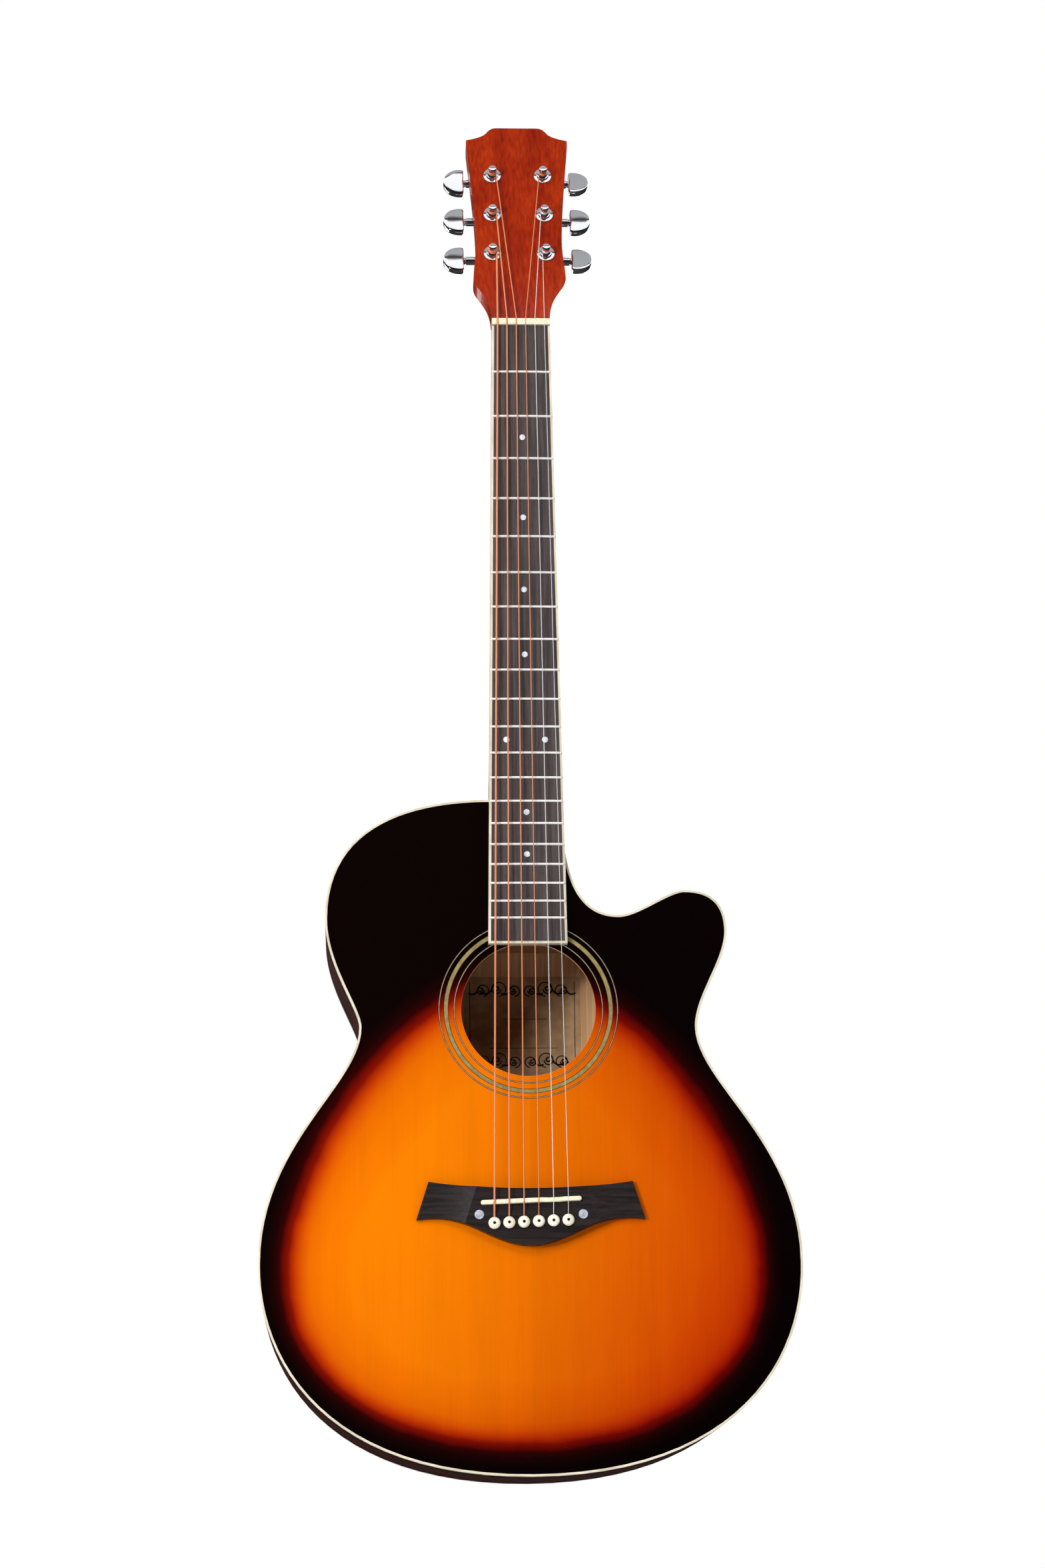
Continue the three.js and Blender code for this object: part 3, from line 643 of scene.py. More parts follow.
trial = cut_away(block((0, 0, 0), (10, 10, 10)), block((4, 4, -1), (6, 6, 11)))
print("a 10 mm cube with a 2 mm square hole:", round(trial.calc_volume(), 2), "mm3")
trial.free()

# %% [markdown]
# A finished piece is placed by baking the matrix into its mesh, so its object stays at the
# origin. It is shaded smooth except across true corners, and its normals are weighted by area,
# so that a flat face stays flat beside a rounded edge. Then it rides on a body of the jig,
# takes a finish and hides the rough nodes of the jig that it stands for.


# %% Placing a piece
def fit(name, bm, finish, body="instrument", stands_for=(), place=INSTRUMENT, corner=35,
        inside=None, flat=True):
    bmesh.ops.transform(bm, matrix=place, verts=bm.verts)
    if place.determinant() < 0:
        bmesh.ops.reverse_faces(bm, faces=bm.faces)
    piece = shelved(bm, name)
    for polygon in piece.data.polygons:
        polygon.use_smooth = True
    piece.data.set_sharp_from_angle(angle=math.radians(corner))
    piece.data.materials.append(finish.material)
    if inside:
        piece.data.materials.append(inside.material)
    if flat:
        flats = piece.modifiers.new("flats", "WEIGHTED_NORMAL")
        flats.keep_sharp = True
    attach(piece, body)
    if stands_for:
        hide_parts(*stands_for)
    print(f"{name}: {len(piece.data.polygons)} faces")


print("pieces are placed by a matrix whose scale is", round(INSTRUMENT.median_scale, 4))

# %% [markdown]
# ## The body
#
# The outline is drawn once and used for every layer: the soundboard and back drop inside the
# binding, the binding is the strip that an even inset leaves, and the sides are the same strip
# made tall. An inset keeps the strip the same width all round, which scaling would not.

# %% Body outline
PLATE, BINDING_WIDTH, BINDING_HEIGHT, SIDE = 2.8, 1.6, 6.0, 2.2
OUTLINE = (
    (0, -182.9),
    (141, -182.9, 188.8, -105.4, 188.8, -37.4),
    (188.8, 47.6, 118.8, 87.8, 118.8, 127.8),
    (118.8, 148.8, 141.2, 175.5, 141.2, 196.5),
    (141.2, 209.5, 136.9, 226, 111.9, 226),
    (100.4, 226, 78.3, 208, 64.8, 208),
    (38.8, 208, 25, 231, 25, 292),
    (-25, 292),
    (-78, 292, -143.1, 276.7, -143.1, 205.7),
    (-143.1, 172.7, -118.8, 140.8, -118.8, 127.8),
    (-118.8, 87.8, -188.8, 47.6, -188.8, -37.4),
    (-188.8, -105.4, -141, -182.9, 0, -182.9),
)


def rim_and_plate(width):
    """The outline's rim strip of that width, and the plate inside it, as two flat bmeshes."""
    strip = template(*OUTLINE, steps=24)
    bmesh.ops.inset_region(
        strip, faces=strip.faces[:], thickness=width, use_even_offset=True, use_boundary=True
    )
    strip.faces.ensure_lookup_table()
    middle = max(strip.faces, key=lambda face: len(face.verts))
    inner = strip.verts.layers.int.new("inner")
    for vert in middle.verts:
        vert[inner] = 1
    plate = strip.copy()
    plate.faces.ensure_lookup_table()
    keep = plate.faces[middle.index]
    bmesh.ops.delete(plate, geom=[f for f in plate.faces if f != keep], context="FACES")
    bmesh.ops.delete(strip, geom=[middle], context="FACES_ONLY")
    return strip, plate


rim, plate = rim_and_plate(BINDING_WIDTH)
print("outline:", len(plate.verts), "points")

# %% [markdown]
# The soundboard and the bridge share six straight holes for the pins, and the soundboard has the
# soundhole. Drilling both with the same tools keeps the holes in line, as on the bench. The
# lip of the soundhole is eased with a small bevel, which catches the light as sanded wood does.

# %% Soundboard, back and pin holes
STRING_RADII = (0.67, 0.53, 0.41, 0.31, 0.23, 0.18)  # bass to treble
PIN_Y, SADDLE_Y, SLANT_DEGREES = -10.1, 4.4, 2.2
SLANT = math.tan(math.radians(SLANT_DEGREES))
NUT_SPACING, SADDLE_SPACING = 6.88, 10.24
PIN_HOLE, HOLE_EASING = 2.95, 0.35  # radius of a pin hole, bevel on the soundhole's lip


def string_x(index, spacing):
    return (index - 2.5) * spacing


def pin_spot(index):
    x = string_x(index, SADDLE_SPACING)
    return shift(x, PIN_Y + x * SLANT, 0)


def drill(radius, low, high, steps):
    """A straight cylinder about Z, to cut with."""
    return turned([(0, low), (radius, low), (radius, high), (0, high)], steps)


def pin_holes():
    return [moved(drill(PIN_HOLE, -14, 20, 24), pin_spot(i)) for i in range(6)]


hole_saw = moved(drill(SOUNDHOLE_RADIUS, -9, 9, 128), shift(0, SOUNDHOLE_Y, 0))
soundboard = cut_away(thicken(plate.copy(), -PLATE, 0), hole_saw, *pin_holes())


def around_hole(edge):
    middle = (edge.verts[0].co + edge.verts[1].co) / 2 - Vector((0, SOUNDHOLE_Y, 0))
    return middle.to_2d().length < SOUNDHOLE_RADIUS + 1


soften(soundboard, HOLE_EASING, 2, around_hole)
fit("soundboard", soundboard, burst, stands_for=["top"])
back = thicken(plate, -DEPTH, PLATE - DEPTH)
for face in back.faces:
    face.material_index = int(face.normal.z > 0.5)
fit("back_plate", back, back_finish, stands_for=["back"], inside=bare_finish)

# %% [markdown]
# The binding is a cream strip let into the corner of the body, front and back. Its outer corner
# is scraped round so it is kind to the arm: a bevel on both edges of its showing face does
# that. In the sharp corner beside the neck the bevel folds on itself, so slivers are dissolved.

# %% Bindings
BINDING_EASING, SLIVER = 0.5, 0.02


def at_height(level):
    """Picks the edges that lie at one height and border a wall."""
    def chosen(edge):
        return all(abs(vert.co.z - level) < 0.01 for vert in edge.verts) and any(
            abs(face.normal.z) < 0.5 for face in edge.link_faces)
    return chosen


front = thicken(rim.copy(), -BINDING_HEIGHT, 0)
soften(front, BINDING_EASING, 3, at_height(0))
rear = thicken(rim, -DEPTH, BINDING_HEIGHT - DEPTH)
soften(rear, BINDING_EASING, 3, at_height(-DEPTH))
for strip in (front, rear):
    bmesh.ops.dissolve_degenerate(strip, dist=SLIVER, edges=strip.edges)
fit("binding_front", front, binding_finish, stands_for=["binding_top"])
fit("binding_rear", rear, binding_finish, stands_for=["binding_back"])

# %% [markdown]
# Two sides of thin mahogany are bent over a hot pipe and meet at the tail and under the neck.
# Their inner faces, like the back's, stay raw, so those faces take a second material.
# One wall is made from the rim strip and sawn down the middle with a bisecting plane, which
# leaves the seam open to be closed, so each half is a whole piece of its own.

# %% Sides
wall, _ = rim_and_plate(SIDE)
wall = thicken(wall, BINDING_HEIGHT - DEPTH, -BINDING_HEIGHT)
inner = wall.verts.layers.int["inner"]
for face in wall.faces:
    face.material_index = int(all(vert[inner] for vert in face.verts))
SEAM = 0.05  # each side stops this far from the middle line
for name, side in (("bass", -1), ("treble", 1)):
    half = wall.copy()
    bmesh.ops.bisect_plane(half, geom=[*half.verts, *half.edges, *half.faces],
                           plane_co=(side * SEAM, 0, 0), plane_no=(-side, 0, 0), clear_outer=True)
    bmesh.ops.holes_fill(half, edges=[e for e in half.edges if e.is_boundary])
    bmesh.ops.recalc_face_normals(half, faces=half.faces)
    fit(f"side_{name}_bent", half, side_finish, stands_for=[f"side_{name}"],
        inside=bare_finish)

# %% [markdown]
# A rosette is a set of rings let into the top round the soundhole: here one broad olive ring
# between two thin pale ones, each with a fine dark line on both sides. Every ring is a short
# lathe turning that stands a hair above the lacquer, so it never flickers with the surface.

# %% Rosette
PROUD = 0.04


def ring(inner, outer, depth, rise=PROUD):
    profile = [(inner, -depth), (outer, -depth), (outer, rise), (inner, rise), (inner, -depth)]
    return moved(turned(profile, 160), shift(0, SOUNDHOLE_Y, 0))


BROAD_RING, THIN_RINGS = (56.75, 59.35), ((52.05, 52.5), (62.65, 63.1))
LINE = 0.34  # width of a dark line
fit("rosette_broad", ring(*BROAD_RING, 0.9), inlay_finish, stands_for=["rosette"])
fit("rosette_thin", gather(*[ring(*pair, 0.5) for pair in THIN_RINGS]), thin_finish)
lines = []
for inner, outer in (BROAD_RING, *THIN_RINGS):
    lines += [ring(inner - LINE, inner, 0.4, 0.03), ring(outer, outer + LINE, 0.4, 0.03)]
fit("rosette_lines", gather(*lines), ink_finish)

# %% [markdown]
# A paper label lies on the back, seen through the soundhole. The real one names its maker, so
# this one has only a scrolled border, drawn with arcs: an edge spun part of the way round a
# centre is a flat ribbon, which gets the thickness of a coat of ink. Four of them make a scroll.

# %% Label
LABEL_LOW, LABEL_HIGH = (-42.4, 107.5), (42.6, 181.5)
LABEL_Z = PLATE - DEPTH + 0.15
INK = 0.06
label = block((*LABEL_LOW, LABEL_Z - 0.1), (*LABEL_HIGH, LABEL_Z))
fit("label_paper", label, label_finish)


def arc(x, y, radius, start, sweep, width):
    """A ribbon of ink bent round a centre, from one angle and over another, in degrees."""
    bm = bmesh.new()
    ends = [bm.verts.new((radius - width / 2, 0, 0)), bm.verts.new((radius + width / 2, 0, 0))]
    edge = bm.edges.new(ends)
    bmesh.ops.spin(bm, geom=[*ends, edge], cent=(0, 0, 0), axis=(0, 0, 1), dvec=(0, 0, 0),
                   angle=math.radians(sweep), steps=14, use_merge=False, use_duplicate=False)
    bm.normal_update()
    return moved(thicken(bm, LABEL_Z, LABEL_Z + INK), turn(start, "Z"), shift(x, y, 0))


def scroll(x, y, size, side):
    """Four arcs that wind into each other, opening to one side."""
    parts = [arc(0, 0, size, 20, 250, 0.8), arc(size * 0.35, 0, size * 0.62, 180, 260, 1.0),
             arc(size * 0.3, size * 0.1, size * 0.28, 60, 300, 1.2),
             arc(size * 1.9, size * 0.35, size, 200, 110, 1.3)]
    return [moved(part, Matrix.Diagonal((side, 1, 1, 1)), shift(x, y, 0)) for part in parts]


flourish = []
for row in (171.5, 119):
    for column, size in ((5.5, 3.8), (17, 5.2), (28.5, 4.2)):
        for side in (-1, 1):
            flourish += scroll(side * column, row + (size - 4.4), size, side)
for low, high in (((38.0, 112.0), (38.5, 178.0)), ((-38.5, 112.0), (-38.0, 178.0)),
                  ((-24.0, 128.6), (26.0, 129.0)), ((-14.0, 150.0), (18.0, 150.4))):
    flourish.append(block((*low, LABEL_Z), (*high, LABEL_Z + INK)))
ornament = gather(*flourish)
bmesh.ops.recalc_face_normals(ornament, faces=ornament.faces)
fit("label_border", ornament, ink_finish)

# %% [markdown]
# ## The neck
#
# The neck is carved from one plank: a full D under the strings that swells into the heel. A
# loft suits it, because a carver works from station to station too. Each station is the same
# drawn D with its own width and depth, so the skin between them has even, clean quads.

# %% Neck shaft and heel
BOARD_END, NUT_HALF, BOARD_END_HALF = 186.3, 21.5, 28.0
NECK_START, HEEL_DEPTH, HEEL_SHAFT_DEPTH, NUT_DEPTH = 292.3, 84.0, 17.6, 14.8


def board_half(y):
    """Half the fingerboard's width at y."""
    share = (y - BOARD_END) / (SCALE - BOARD_END)
    return BOARD_END_HALF + share * (NUT_HALF - BOARD_END_HALF)


def station(y, half, depth, top=0.0, heel=0.0):
    """A D section across the neck; heel from 0 to 1 draws its sides straighter and narrower."""
    waist, foot = 0.66 + 0.14 * heel, 0.66 - 0.2 * heel
    section = template(
        (half, top), (-half, top),
        (-half, top - depth * waist, -half * foot, -depth, 0, -depth),
        (half * foot, -depth, half, top - depth * waist, half, top), steps=16,
    )
    return moved(section, turn(90, "X"), shift(0, y, 0))


def heel_depth(share):
    """The heel's curve, from its foot at 0 to the shaft at 1: distance and depth."""
    points = [Vector((12, HEEL_DEPTH)), Vector((16, 42)), Vector((30, 19)),
              Vector((62, HEEL_SHAFT_DEPTH))]
    while len(points) > 1:
        points = [a.lerp(b, share) for a, b in zip(points, points[1:])]
    return points[0]


stations = [station(NECK_START, board_half(NECK_START), HEEL_DEPTH, heel=1.0)]
for step in range(21):
    along, depth = heel_depth(step / 20)
    y = NECK_START + along
    fullness = (depth - HEEL_SHAFT_DEPTH) / (HEEL_DEPTH - HEEL_SHAFT_DEPTH)
    stations.append(station(y, board_half(y), depth, heel=fullness))
stations.append(station(500, board_half(500), 16.2))
stations.append(station(HEAD_START - 4, NUT_HALF, NUT_DEPTH))
SCARF = 42.0
for share in (0.06, 0.2, 0.4, 0.6, 0.8, 1.0):
    fall = share * SCARF * math.tan(HEAD_TILT)
    stations.append(station(HEAD_START + share * SCARF, NUT_HALF - 4 * share,
                            NUT_DEPTH + 3.6 * share**2, top=min(0.0, HEAD_RISE - fall - 3)))
fit("neck_shaft", loft(stations), neck_finish, stands_for=["neck"], corner=40)

# %% [markdown]
# The heel ends in a small cap of binding, glued over its end grain. The tenon that holds the
# neck in the body is hidden, so only a plain tongue is made for it.

# %% Heel cap and tenon
cap = template((-13.5, NECK_START), (13.5, NECK_START),
               (13.5, NECK_START + 9, 6, NECK_START + 14.5, 0, NECK_START + 14.5),
               (-6, NECK_START + 14.5, -13.5, NECK_START + 9, -13.5, NECK_START))
cap = soften(thicken(cap, -HEEL_DEPTH - 1.2, -HEEL_DEPTH + 1.5), 0.4, 2)
fit("heel_cap", cap, binding_finish)
tongue = soften(block((-9, NECK_START - 30, -70), (9, NECK_START + 1, -3.1)), 0.6, 2)
fit("neck_tenon", tongue, neck_finish)

# %% [markdown]
# The head is a slab sawn to a template and rounded along its edges. It leans back thirteen
# degrees so the strings press on the nut, and six bores take the machine heads.

# %% Head
HEAD_LENGTH, HEAD_THICKNESS = 174.0, 14.5
RIGHT_EDGE = (
    (21.9, 12, 25.5, 18.5, 29.3, 24.6), (31.6, 28.3, 34.3, 31.5, 34.2, 37),
    (34.1, 46, 32.2, 54, 32.1, 68), (32.2, 92, 36, 130, 38.2, 157),
    (38.2, 162.5), (31, 164, 25.5, 166, 23, 169), (21, 172, 19, HEAD_LENGTH, 15, HEAD_LENGTH),
)


def mirrored(start, runs):
    """The same runs walked back on the other side of the middle line."""
    knots = [start] + [run[-2:] for run in runs]
    back = [(-knots[-1][0], knots[-1][1])]
    for knot, run in zip(knots[-2::-1], runs[::-1]):
        handles = (-run[2], run[3], -run[0], run[1]) if len(run) == 6 else ()
        back.append((*handles, -knot[0], knot[1]))
    return back


head_start = (21.6, 0)
POSTS = [(-1, 19.8, 58.5), (-1, 19.4, 93.9), (-1, 19.0, 129.4),
         (1, 19.0, 129.4), (1, 19.4, 93.9), (1, 19.8, 58.5)]  # side, distance, up the head
bores = [moved(drill(4.9, -20, 5, 32), shift(side * x, up, 0)) for side, x, up in POSTS]
head = template(head_start, *RIGHT_EDGE, *mirrored(head_start, RIGHT_EDGE), steps=14)
head = soften(thicken(head, -HEAD_THICKNESS, 0), 1.9, 5, corner=60)
fit("headstock", cut_away(head, *bores), neck_finish, place=ON_HEAD)

# %% [markdown]
# ## Fingerboard, frets and nut
#
# The fingerboard is slightly crowned across. Two sections, each with an arched top, are lofted
# from end to nut. A cream strip edges it on both sides and across its end.

# %% Fingerboard
BOARD_THICKNESS, CROWN, EDGING = 6.2, 0.5, 1.8
BOARD_TIP = SCALE - 0.3  # a hair short of the nut


def board_section(y, trim, low=0.0, rise=0.0):
    half, top = board_half(y) - trim, BOARD_THICKNESS + rise
    arch = top + CROWN * 4 / 3
    section = template((half, low), (half, top), (half / 3, arch, -half / 3, arch, -half, top),
                       (-half, low), steps=16)
    return moved(section, turn(90, "X"), shift(0, y, 0))


board = loft([board_section(y, EDGING) for y in (BOARD_END + EDGING, BOARD_TIP)])
fit("fingerboard", board, board_finish, stands_for=["fretboard"])

end = board_half(BOARD_END)
edging = template((-end, BOARD_END), (end, BOARD_END), (NUT_HALF, BOARD_TIP),
                  (-NUT_HALF, BOARD_TIP), steps=1)
edging = thicken(edging, 0, BOARD_THICKNESS)
soften(edging, 0.35, 2, higher_than(BOARD_THICKNESS - 0.1))
core = loft([board_section(y, EDGING, -1, 2) for y in (BOARD_END + EDGING, SCALE + 3)])
fit("fingerboard_edging", cut_away(edging, core), binding_finish,
    stands_for=["fretboard_binding"])

# %% [markdown]
# Each fret is a length of nickel-silver wire with a rounded crown. Its place follows the rule
# of equal temperament: every fret is the twelfth root of two closer to the saddle. The wire
# starts as a block, its top edges are rounded over, and it is bent to the board's crown.

# %% Frets
FRETS, FRET_WIDTH, FRET_HEIGHT = 20, 1.6, 1.1


def fret_y(number):
    return SCALE * 2 ** (-number / 12)


def fret(number):
    y = fret_y(number)
    half = board_half(y) - EDGING * 0.35
    foot, top = BOARD_THICKNESS - 0.6, BOARD_THICKNESS + FRET_HEIGHT
    wire = block((-half, y - FRET_WIDTH / 2, foot), (half, y + FRET_WIDTH / 2, top))
    soften(wire, 0.75, 4, higher_than(top - 0.1))
    for vert in sliced(wire, [half * cut / 5 for cut in range(-4, 5)]).verts:
        vert.co.z += CROWN * (1 - (vert.co.x / half) ** 2)
    return wire


fit("fret_wires", gather(*[fret(n + 1) for n in range(FRETS)]), fret_finish)

# %% [markdown]
# Pearl dots mark the places a player counts by, one between frets three, five, seven, nine,
# fifteen and seventeen, and two at twelve. Small black dots repeat them on the edge that the
# player sees. Each is turned like a button and let in almost flush.

# %% Position dots
SINGLE, DOUBLE = (3, 5, 7, 9, 15, 17), 12


def dot(radius, x, y, low, high, steps=32):
    profile = [(0, low), (radius, low), (radius, high - 0.1), (radius - 0.15, high), (0, high)]
    return moved(turned(profile, steps), shift(x, y, 0))


def between(number):
    return (fret_y(number) + fret_y(number - 1)) / 2


def crown_at(x, y):
    return BOARD_THICKNESS + CROWN * (1 - (x / board_half(y)) ** 2)


dots = [dot(2.2, 0, between(n), 5, crown_at(0, between(n)) + PROUD) for n in SINGLE]
for x in (-13.8, 13.8):
    dots.append(dot(2.2, x, between(DOUBLE), 5, crown_at(x, between(DOUBLE)) + 0.06))
fit("position_dots", gather(*dots), pearl_finish)

side_dots = []
for number in (*SINGLE, DOUBLE):
    for offset in (-3, 3) if number == DOUBLE else (0,):
        y = between(number) + offset
        side_dots.append(moved(dot(1.0, 0, 0, -1.0, 0.05, 20), turn(-90, "Y"),
                               shift(-board_half(y), y, 3.4)))
fit("side_dots", gather(*side_dots), ink_finish)

# %% [markdown]
# The nut is a bar of bone with a slot for each string, filed just as wide as its string.

# %% Nut
NUT_LENGTH, NUT_HEIGHT, NUT_BONE_HALF, SLOT_DEPTH = 5.0, 8.6, 21.4, 0.7
bone = block((-NUT_BONE_HALF, SCALE, 0), (NUT_BONE_HALF, SCALE + NUT_LENGTH, NUT_HEIGHT))
soften(bone, 0.8, 3, higher_than(1))


def nut_seat(radius):
    """The height of a string's middle where it lies in its slot."""
    return NUT_HEIGHT - SLOT_DEPTH + radius + 0.1


files = [
    moved(drill(radius + 0.12, -4, 4, 12), turn(90, "X"),
          shift(string_x(i, NUT_SPACING), SCALE + NUT_LENGTH / 2, nut_seat(radius)))
    for i, radius in enumerate(STRING_RADII)
]
fit("nut_bone", cut_away(bone, *files), bone_finish, stands_for=["nut"])

# %% [markdown]
# ## The bridge
#
# The bridge starts as a slab sawn to a curved outline. Each wing is scooped down from a slanted
# line towards its tip, steep at first and then flatter, as a gouge leaves it. The scoop is a
# drawn curve thickened into a tool, and a Boolean takes it away. Then the top edges are eased.

# %% Bridge
BRIDGE_HEIGHT = 8.5
BRIDGE_EDGE = ((18, -26.3, 32, -16, 46, -11), (56, -7.6, 66, -6, 79.5, -8), (71, 18.5),
               (55, 15.5, 25, 13.2, 0, 13.2))
bridge = thicken(template((0, -26.3), *BRIDGE_EDGE, *mirrored((0, -26.3), BRIDGE_EDGE)[1:]),
                 0, BRIDGE_HEIGHT)
scoops = []
for side in (1, -1):
    along = math.degrees(math.atan2(8, 25.5))  # the slant of the scoop's line
    scoop = template((0, BRIDGE_HEIGHT), (9, 5.2, 20, 4.2, 44, 3.7), (60, 3.7), (60, 20), (0, 20))
    scoops.append(moved(
        thicken(scoop, -60, 60), turn(90, "X"), Matrix.Diagonal((side, 1, 1, 1)),
        turn(side * along, "Z"), shift(side * 38, 14, 0),
    ))
    if side < 0:
        bmesh.ops.reverse_faces(scoops[-1], faces=scoops[-1].faces)
bridge = cut_away(bridge, *scoops)
upper = higher_than(1)
soften(bridge, 0.7, 3, lambda edge: upper(edge) and any(
    face.normal.z < 0.3 for face in edge.link_faces), corner=40)
SADDLE_PLACE = (turn(SLANT_DEGREES, "Z"), shift(0, SADDLE_Y, 0))
seat = moved(block((-35.3, -1.9, 4.4), (35.3, 1.9, 20)), *SADDLE_PLACE)
fit("bridge_carved", cut_away(bridge, seat, *pin_holes()), bridge_finish,
    stands_for=["bridge"], corner=14)
eyes = [dot(3.3, side * 36, -5, 5, BRIDGE_HEIGHT + PROUD, 40) for side in (-1, 1)]
fit("bridge_dots", gather(*eyes), shell_finish)

# %% [markdown]
# The saddle is bone, set at a small slant so the bass strings are a little longer, and its
# crown is filed back in steps under single strings to bring each one into tune.

# %% Saddle
SADDLE_LENGTH, SADDLE_WIDTH, SADDLE_LOW, SADDLE_TOP = 70.0, 3.2, 4.6, 12.2
saddle = block((-SADDLE_LENGTH / 2, -SADDLE_WIDTH / 2, SADDLE_LOW),
               (SADDLE_LENGTH / 2, SADDLE_WIDTH / 2, SADDLE_TOP))
soften(saddle, 1.5, 5, lambda e: abs(e.verts[0].co.z - e.verts[1].co.z) > 2)
soften(saddle, 0.9, 3, higher_than(SADDLE_TOP - 0.1))


def saddle_fall(x):
    """How far the saddle's crown has dropped at x."""
    return 0.7 * (x / 35) ** 2


for vert in sliced(saddle, [cut * 3.9 for cut in range(-8, 9)]).verts:
    if vert.co.z > SADDLE_TOP - 1.5:
        vert.co.z -= saddle_fall(vert.co.x)
    if vert.co.z > 9 and 8 < vert.co.x < 21:
        vert.co.y -= 0.25
moved(saddle, *SADDLE_PLACE)
fit("saddle_bone", saddle, bone_finish, stands_for=["saddle"])

# %% [markdown]
# Each string's ball end is wedged in its hole by a tapered pin with a mushroom head. The pin is
# turned, a groove for the string is cut down its front, and a black dot is set in the head.

# %% Bridge pins
PIN_PROFILE = [
    (0, -12), (1.7, -12), (2.0, -11), (2.4, 8.4), (2.4, 8.8), (3.6, 8.8), (4.1, 9.1), (4.2, 9.7),
    (4.1, 10.4), (3.6, 11.15), (2.7, 11.65), (1.5, 11.92), (0, 12),
]
for i in range(6):
    groove = soften(block((-0.8, 1.6, -13), (0.8, 6, 8.6)), 0.3, 2)
    pin = moved(cut_away(turned(PIN_PROFILE, 40), groove), pin_spot(i))
    fit(f"pin_{i + 1}", pin, pin_finish, f"bridge_pin_{i + 1}",
        stands_for=[f"bridge_pin_{i + 1}"])
    eye = moved(dot(1.05, 0, 0, 11, 12.06, 24), pin_spot(i))
    fit(f"pin_dot_{i + 1}", eye, ink_finish, f"bridge_pin_{i + 1}")

# %% [markdown]
# ## Machine heads
#
# Behind each post sits a small gearbox: a die-cast cover with a tube that carries the button's
# shaft. The cover is a rounded block, open towards the head, and screws hold its ears.

# %% Gear covers and their screws
SHAFT_UP, SHAFT_DEPTH = 8.3, -21.2
HEAD_BACK = -HEAD_THICKNESS - 0.05
COVER_PLATE, COVER_BACK = -16, -28  # depths of the cover's foot and of its back


def seat_of(number):
    """The place of a post on the head; the bass side mirrors the treble side."""
    side, x, up = POSTS[number]
    return ON_HEAD @ shift(side * x, up, 0) @ Matrix.Diagonal((side, 1, 1, 1))


def gear_cover():
    cover = soften(block((-7.8, -8.0, COVER_BACK), (10.4, 12.8, HEAD_BACK)), 2.6, 4,
                   lambda edge: any(vert.co.z < -20 for vert in edge.verts))
    tube = moved(turned([(0, 0), (3.1, 0), (3.1, 8.4), (2.7, 9.0), (0, 9.0)], 28), turn(90, "Y"),
                 shift(10.2, SHAFT_UP, SHAFT_DEPTH))
    plate = template((-8.4, -10), (8, -10), (11, -10, 11, -7, 11, -4), (11, 10),
                     (11, 14, 8, 17, 4, 17), (0, 17, -4, 14, -8.4, 10), steps=8)
    plate = soften(thicken(plate, COVER_PLATE, HEAD_BACK), 0.4, 2, corner=60)
    crest = moved(turned([(0, -1.0), (4.2, -1.0), (4.2, 0), (3.6, 0.5), (0, 0.6)], 32),
                  turn(180, "X"), shift(0, 0, COVER_BACK))
    return gather(cover, tube, plate, crest)


def screw(x, up):
    """A round head with a cross slot, seated on the plate of the cover."""
    head = turned([(0, 0), (1.9, 0), (1.9, 0.5), (1.3, 0.95), (0, 1.1)], 24)
    arm, half = 1.3, 0.25
    cross = template((arm, -half), (arm, half), (half, half), (half, arm), (-half, arm),
                     (-half, half), (-arm, half), (-arm, -half), (-half, -half), (-half, -arm),
                     (half, -arm), (half, -half))
    slotted = cut_away(head, thicken(cross, 0.6, 2))
    return moved(slotted, turn(180, "X"), shift(x, up, COVER_PLATE))


def screws():
    return gather(screw(-4.5, -7.8), screw(4.5, 14.9))


for i in range(6):
    fit(f"gear_cover_{i + 1}", gear_cover(), chrome_finish,
        stands_for=[f"tuner_housing_{i + 1}"], place=seat_of(i))
    fit(f"cover_screws_{i + 1}", screws(), steel_finish, place=seat_of(i))

# %% [markdown]
# On the face a stepped bushing guides each post and closes its bore. It is turned: a washer that
# slopes up to a round collar, which catches a bright ring of light on every step.

# %% Bushings
def bushing():
    """A pressed washer that slopes up to a stepped collar, with a sleeve down the bore."""
    return turned([
        (3.3, -4), (4.6, -4), (4.6, 0), (6.5, 0), (6.72, 0.2), (6.7, 0.6), (6.5, 0.9), (6.1, 1.02),
        (4.8, 1.14), (4.6, 1.25), (4.5, 1.5), (4.4, 2.1), (4.2, 2.35), (3.5, 2.45),
        (3.3, 2.2), (3.3, -4),
    ], 56)


for i in range(6):
    fit(f"bushing_{i + 1}", bushing(), chrome_finish,
        stands_for=[f"tuner_bushing_{i + 1}"], place=seat_of(i) @ turn(17 * i, "Z"))

# %% [markdown]
# The post is turned with a waist that keeps the string from climbing, and drilled across for
# the string's end. A few turns of string are wound on it. Spinning a small circle with a step
# along the axis makes the helix in one move. Post and winding turn together with the gear.

# %% String posts and their windings
POST_PROFILE = [
    (0, -25.5), (2, -25.5), (2, -23.2), (5.2, -23.0), (5.4, -22.8), (5.4, -19.6), (5.2, -19.4),
    (3, -19.3), (3, 3.0), (2.9, 3.2), (2.35, 3.7), (2.3, 4.2), (2.3, 6.3), (2.4, 6.7), (2.9, 7.2),
    (3.0, 7.5), (3.0, 9.0), (2.9, 9.4), (2.5, 9.8), (1.8, 9.98), (0, 10.05),
]
WAIST, COIL_LOW, COIL_HIGH = 2.3, 3.9, 6.7
WIRES = [("wound_wire", wound_finish)] * 4 + [("plain_wire", plain_finish)] * 2  # bass to treble


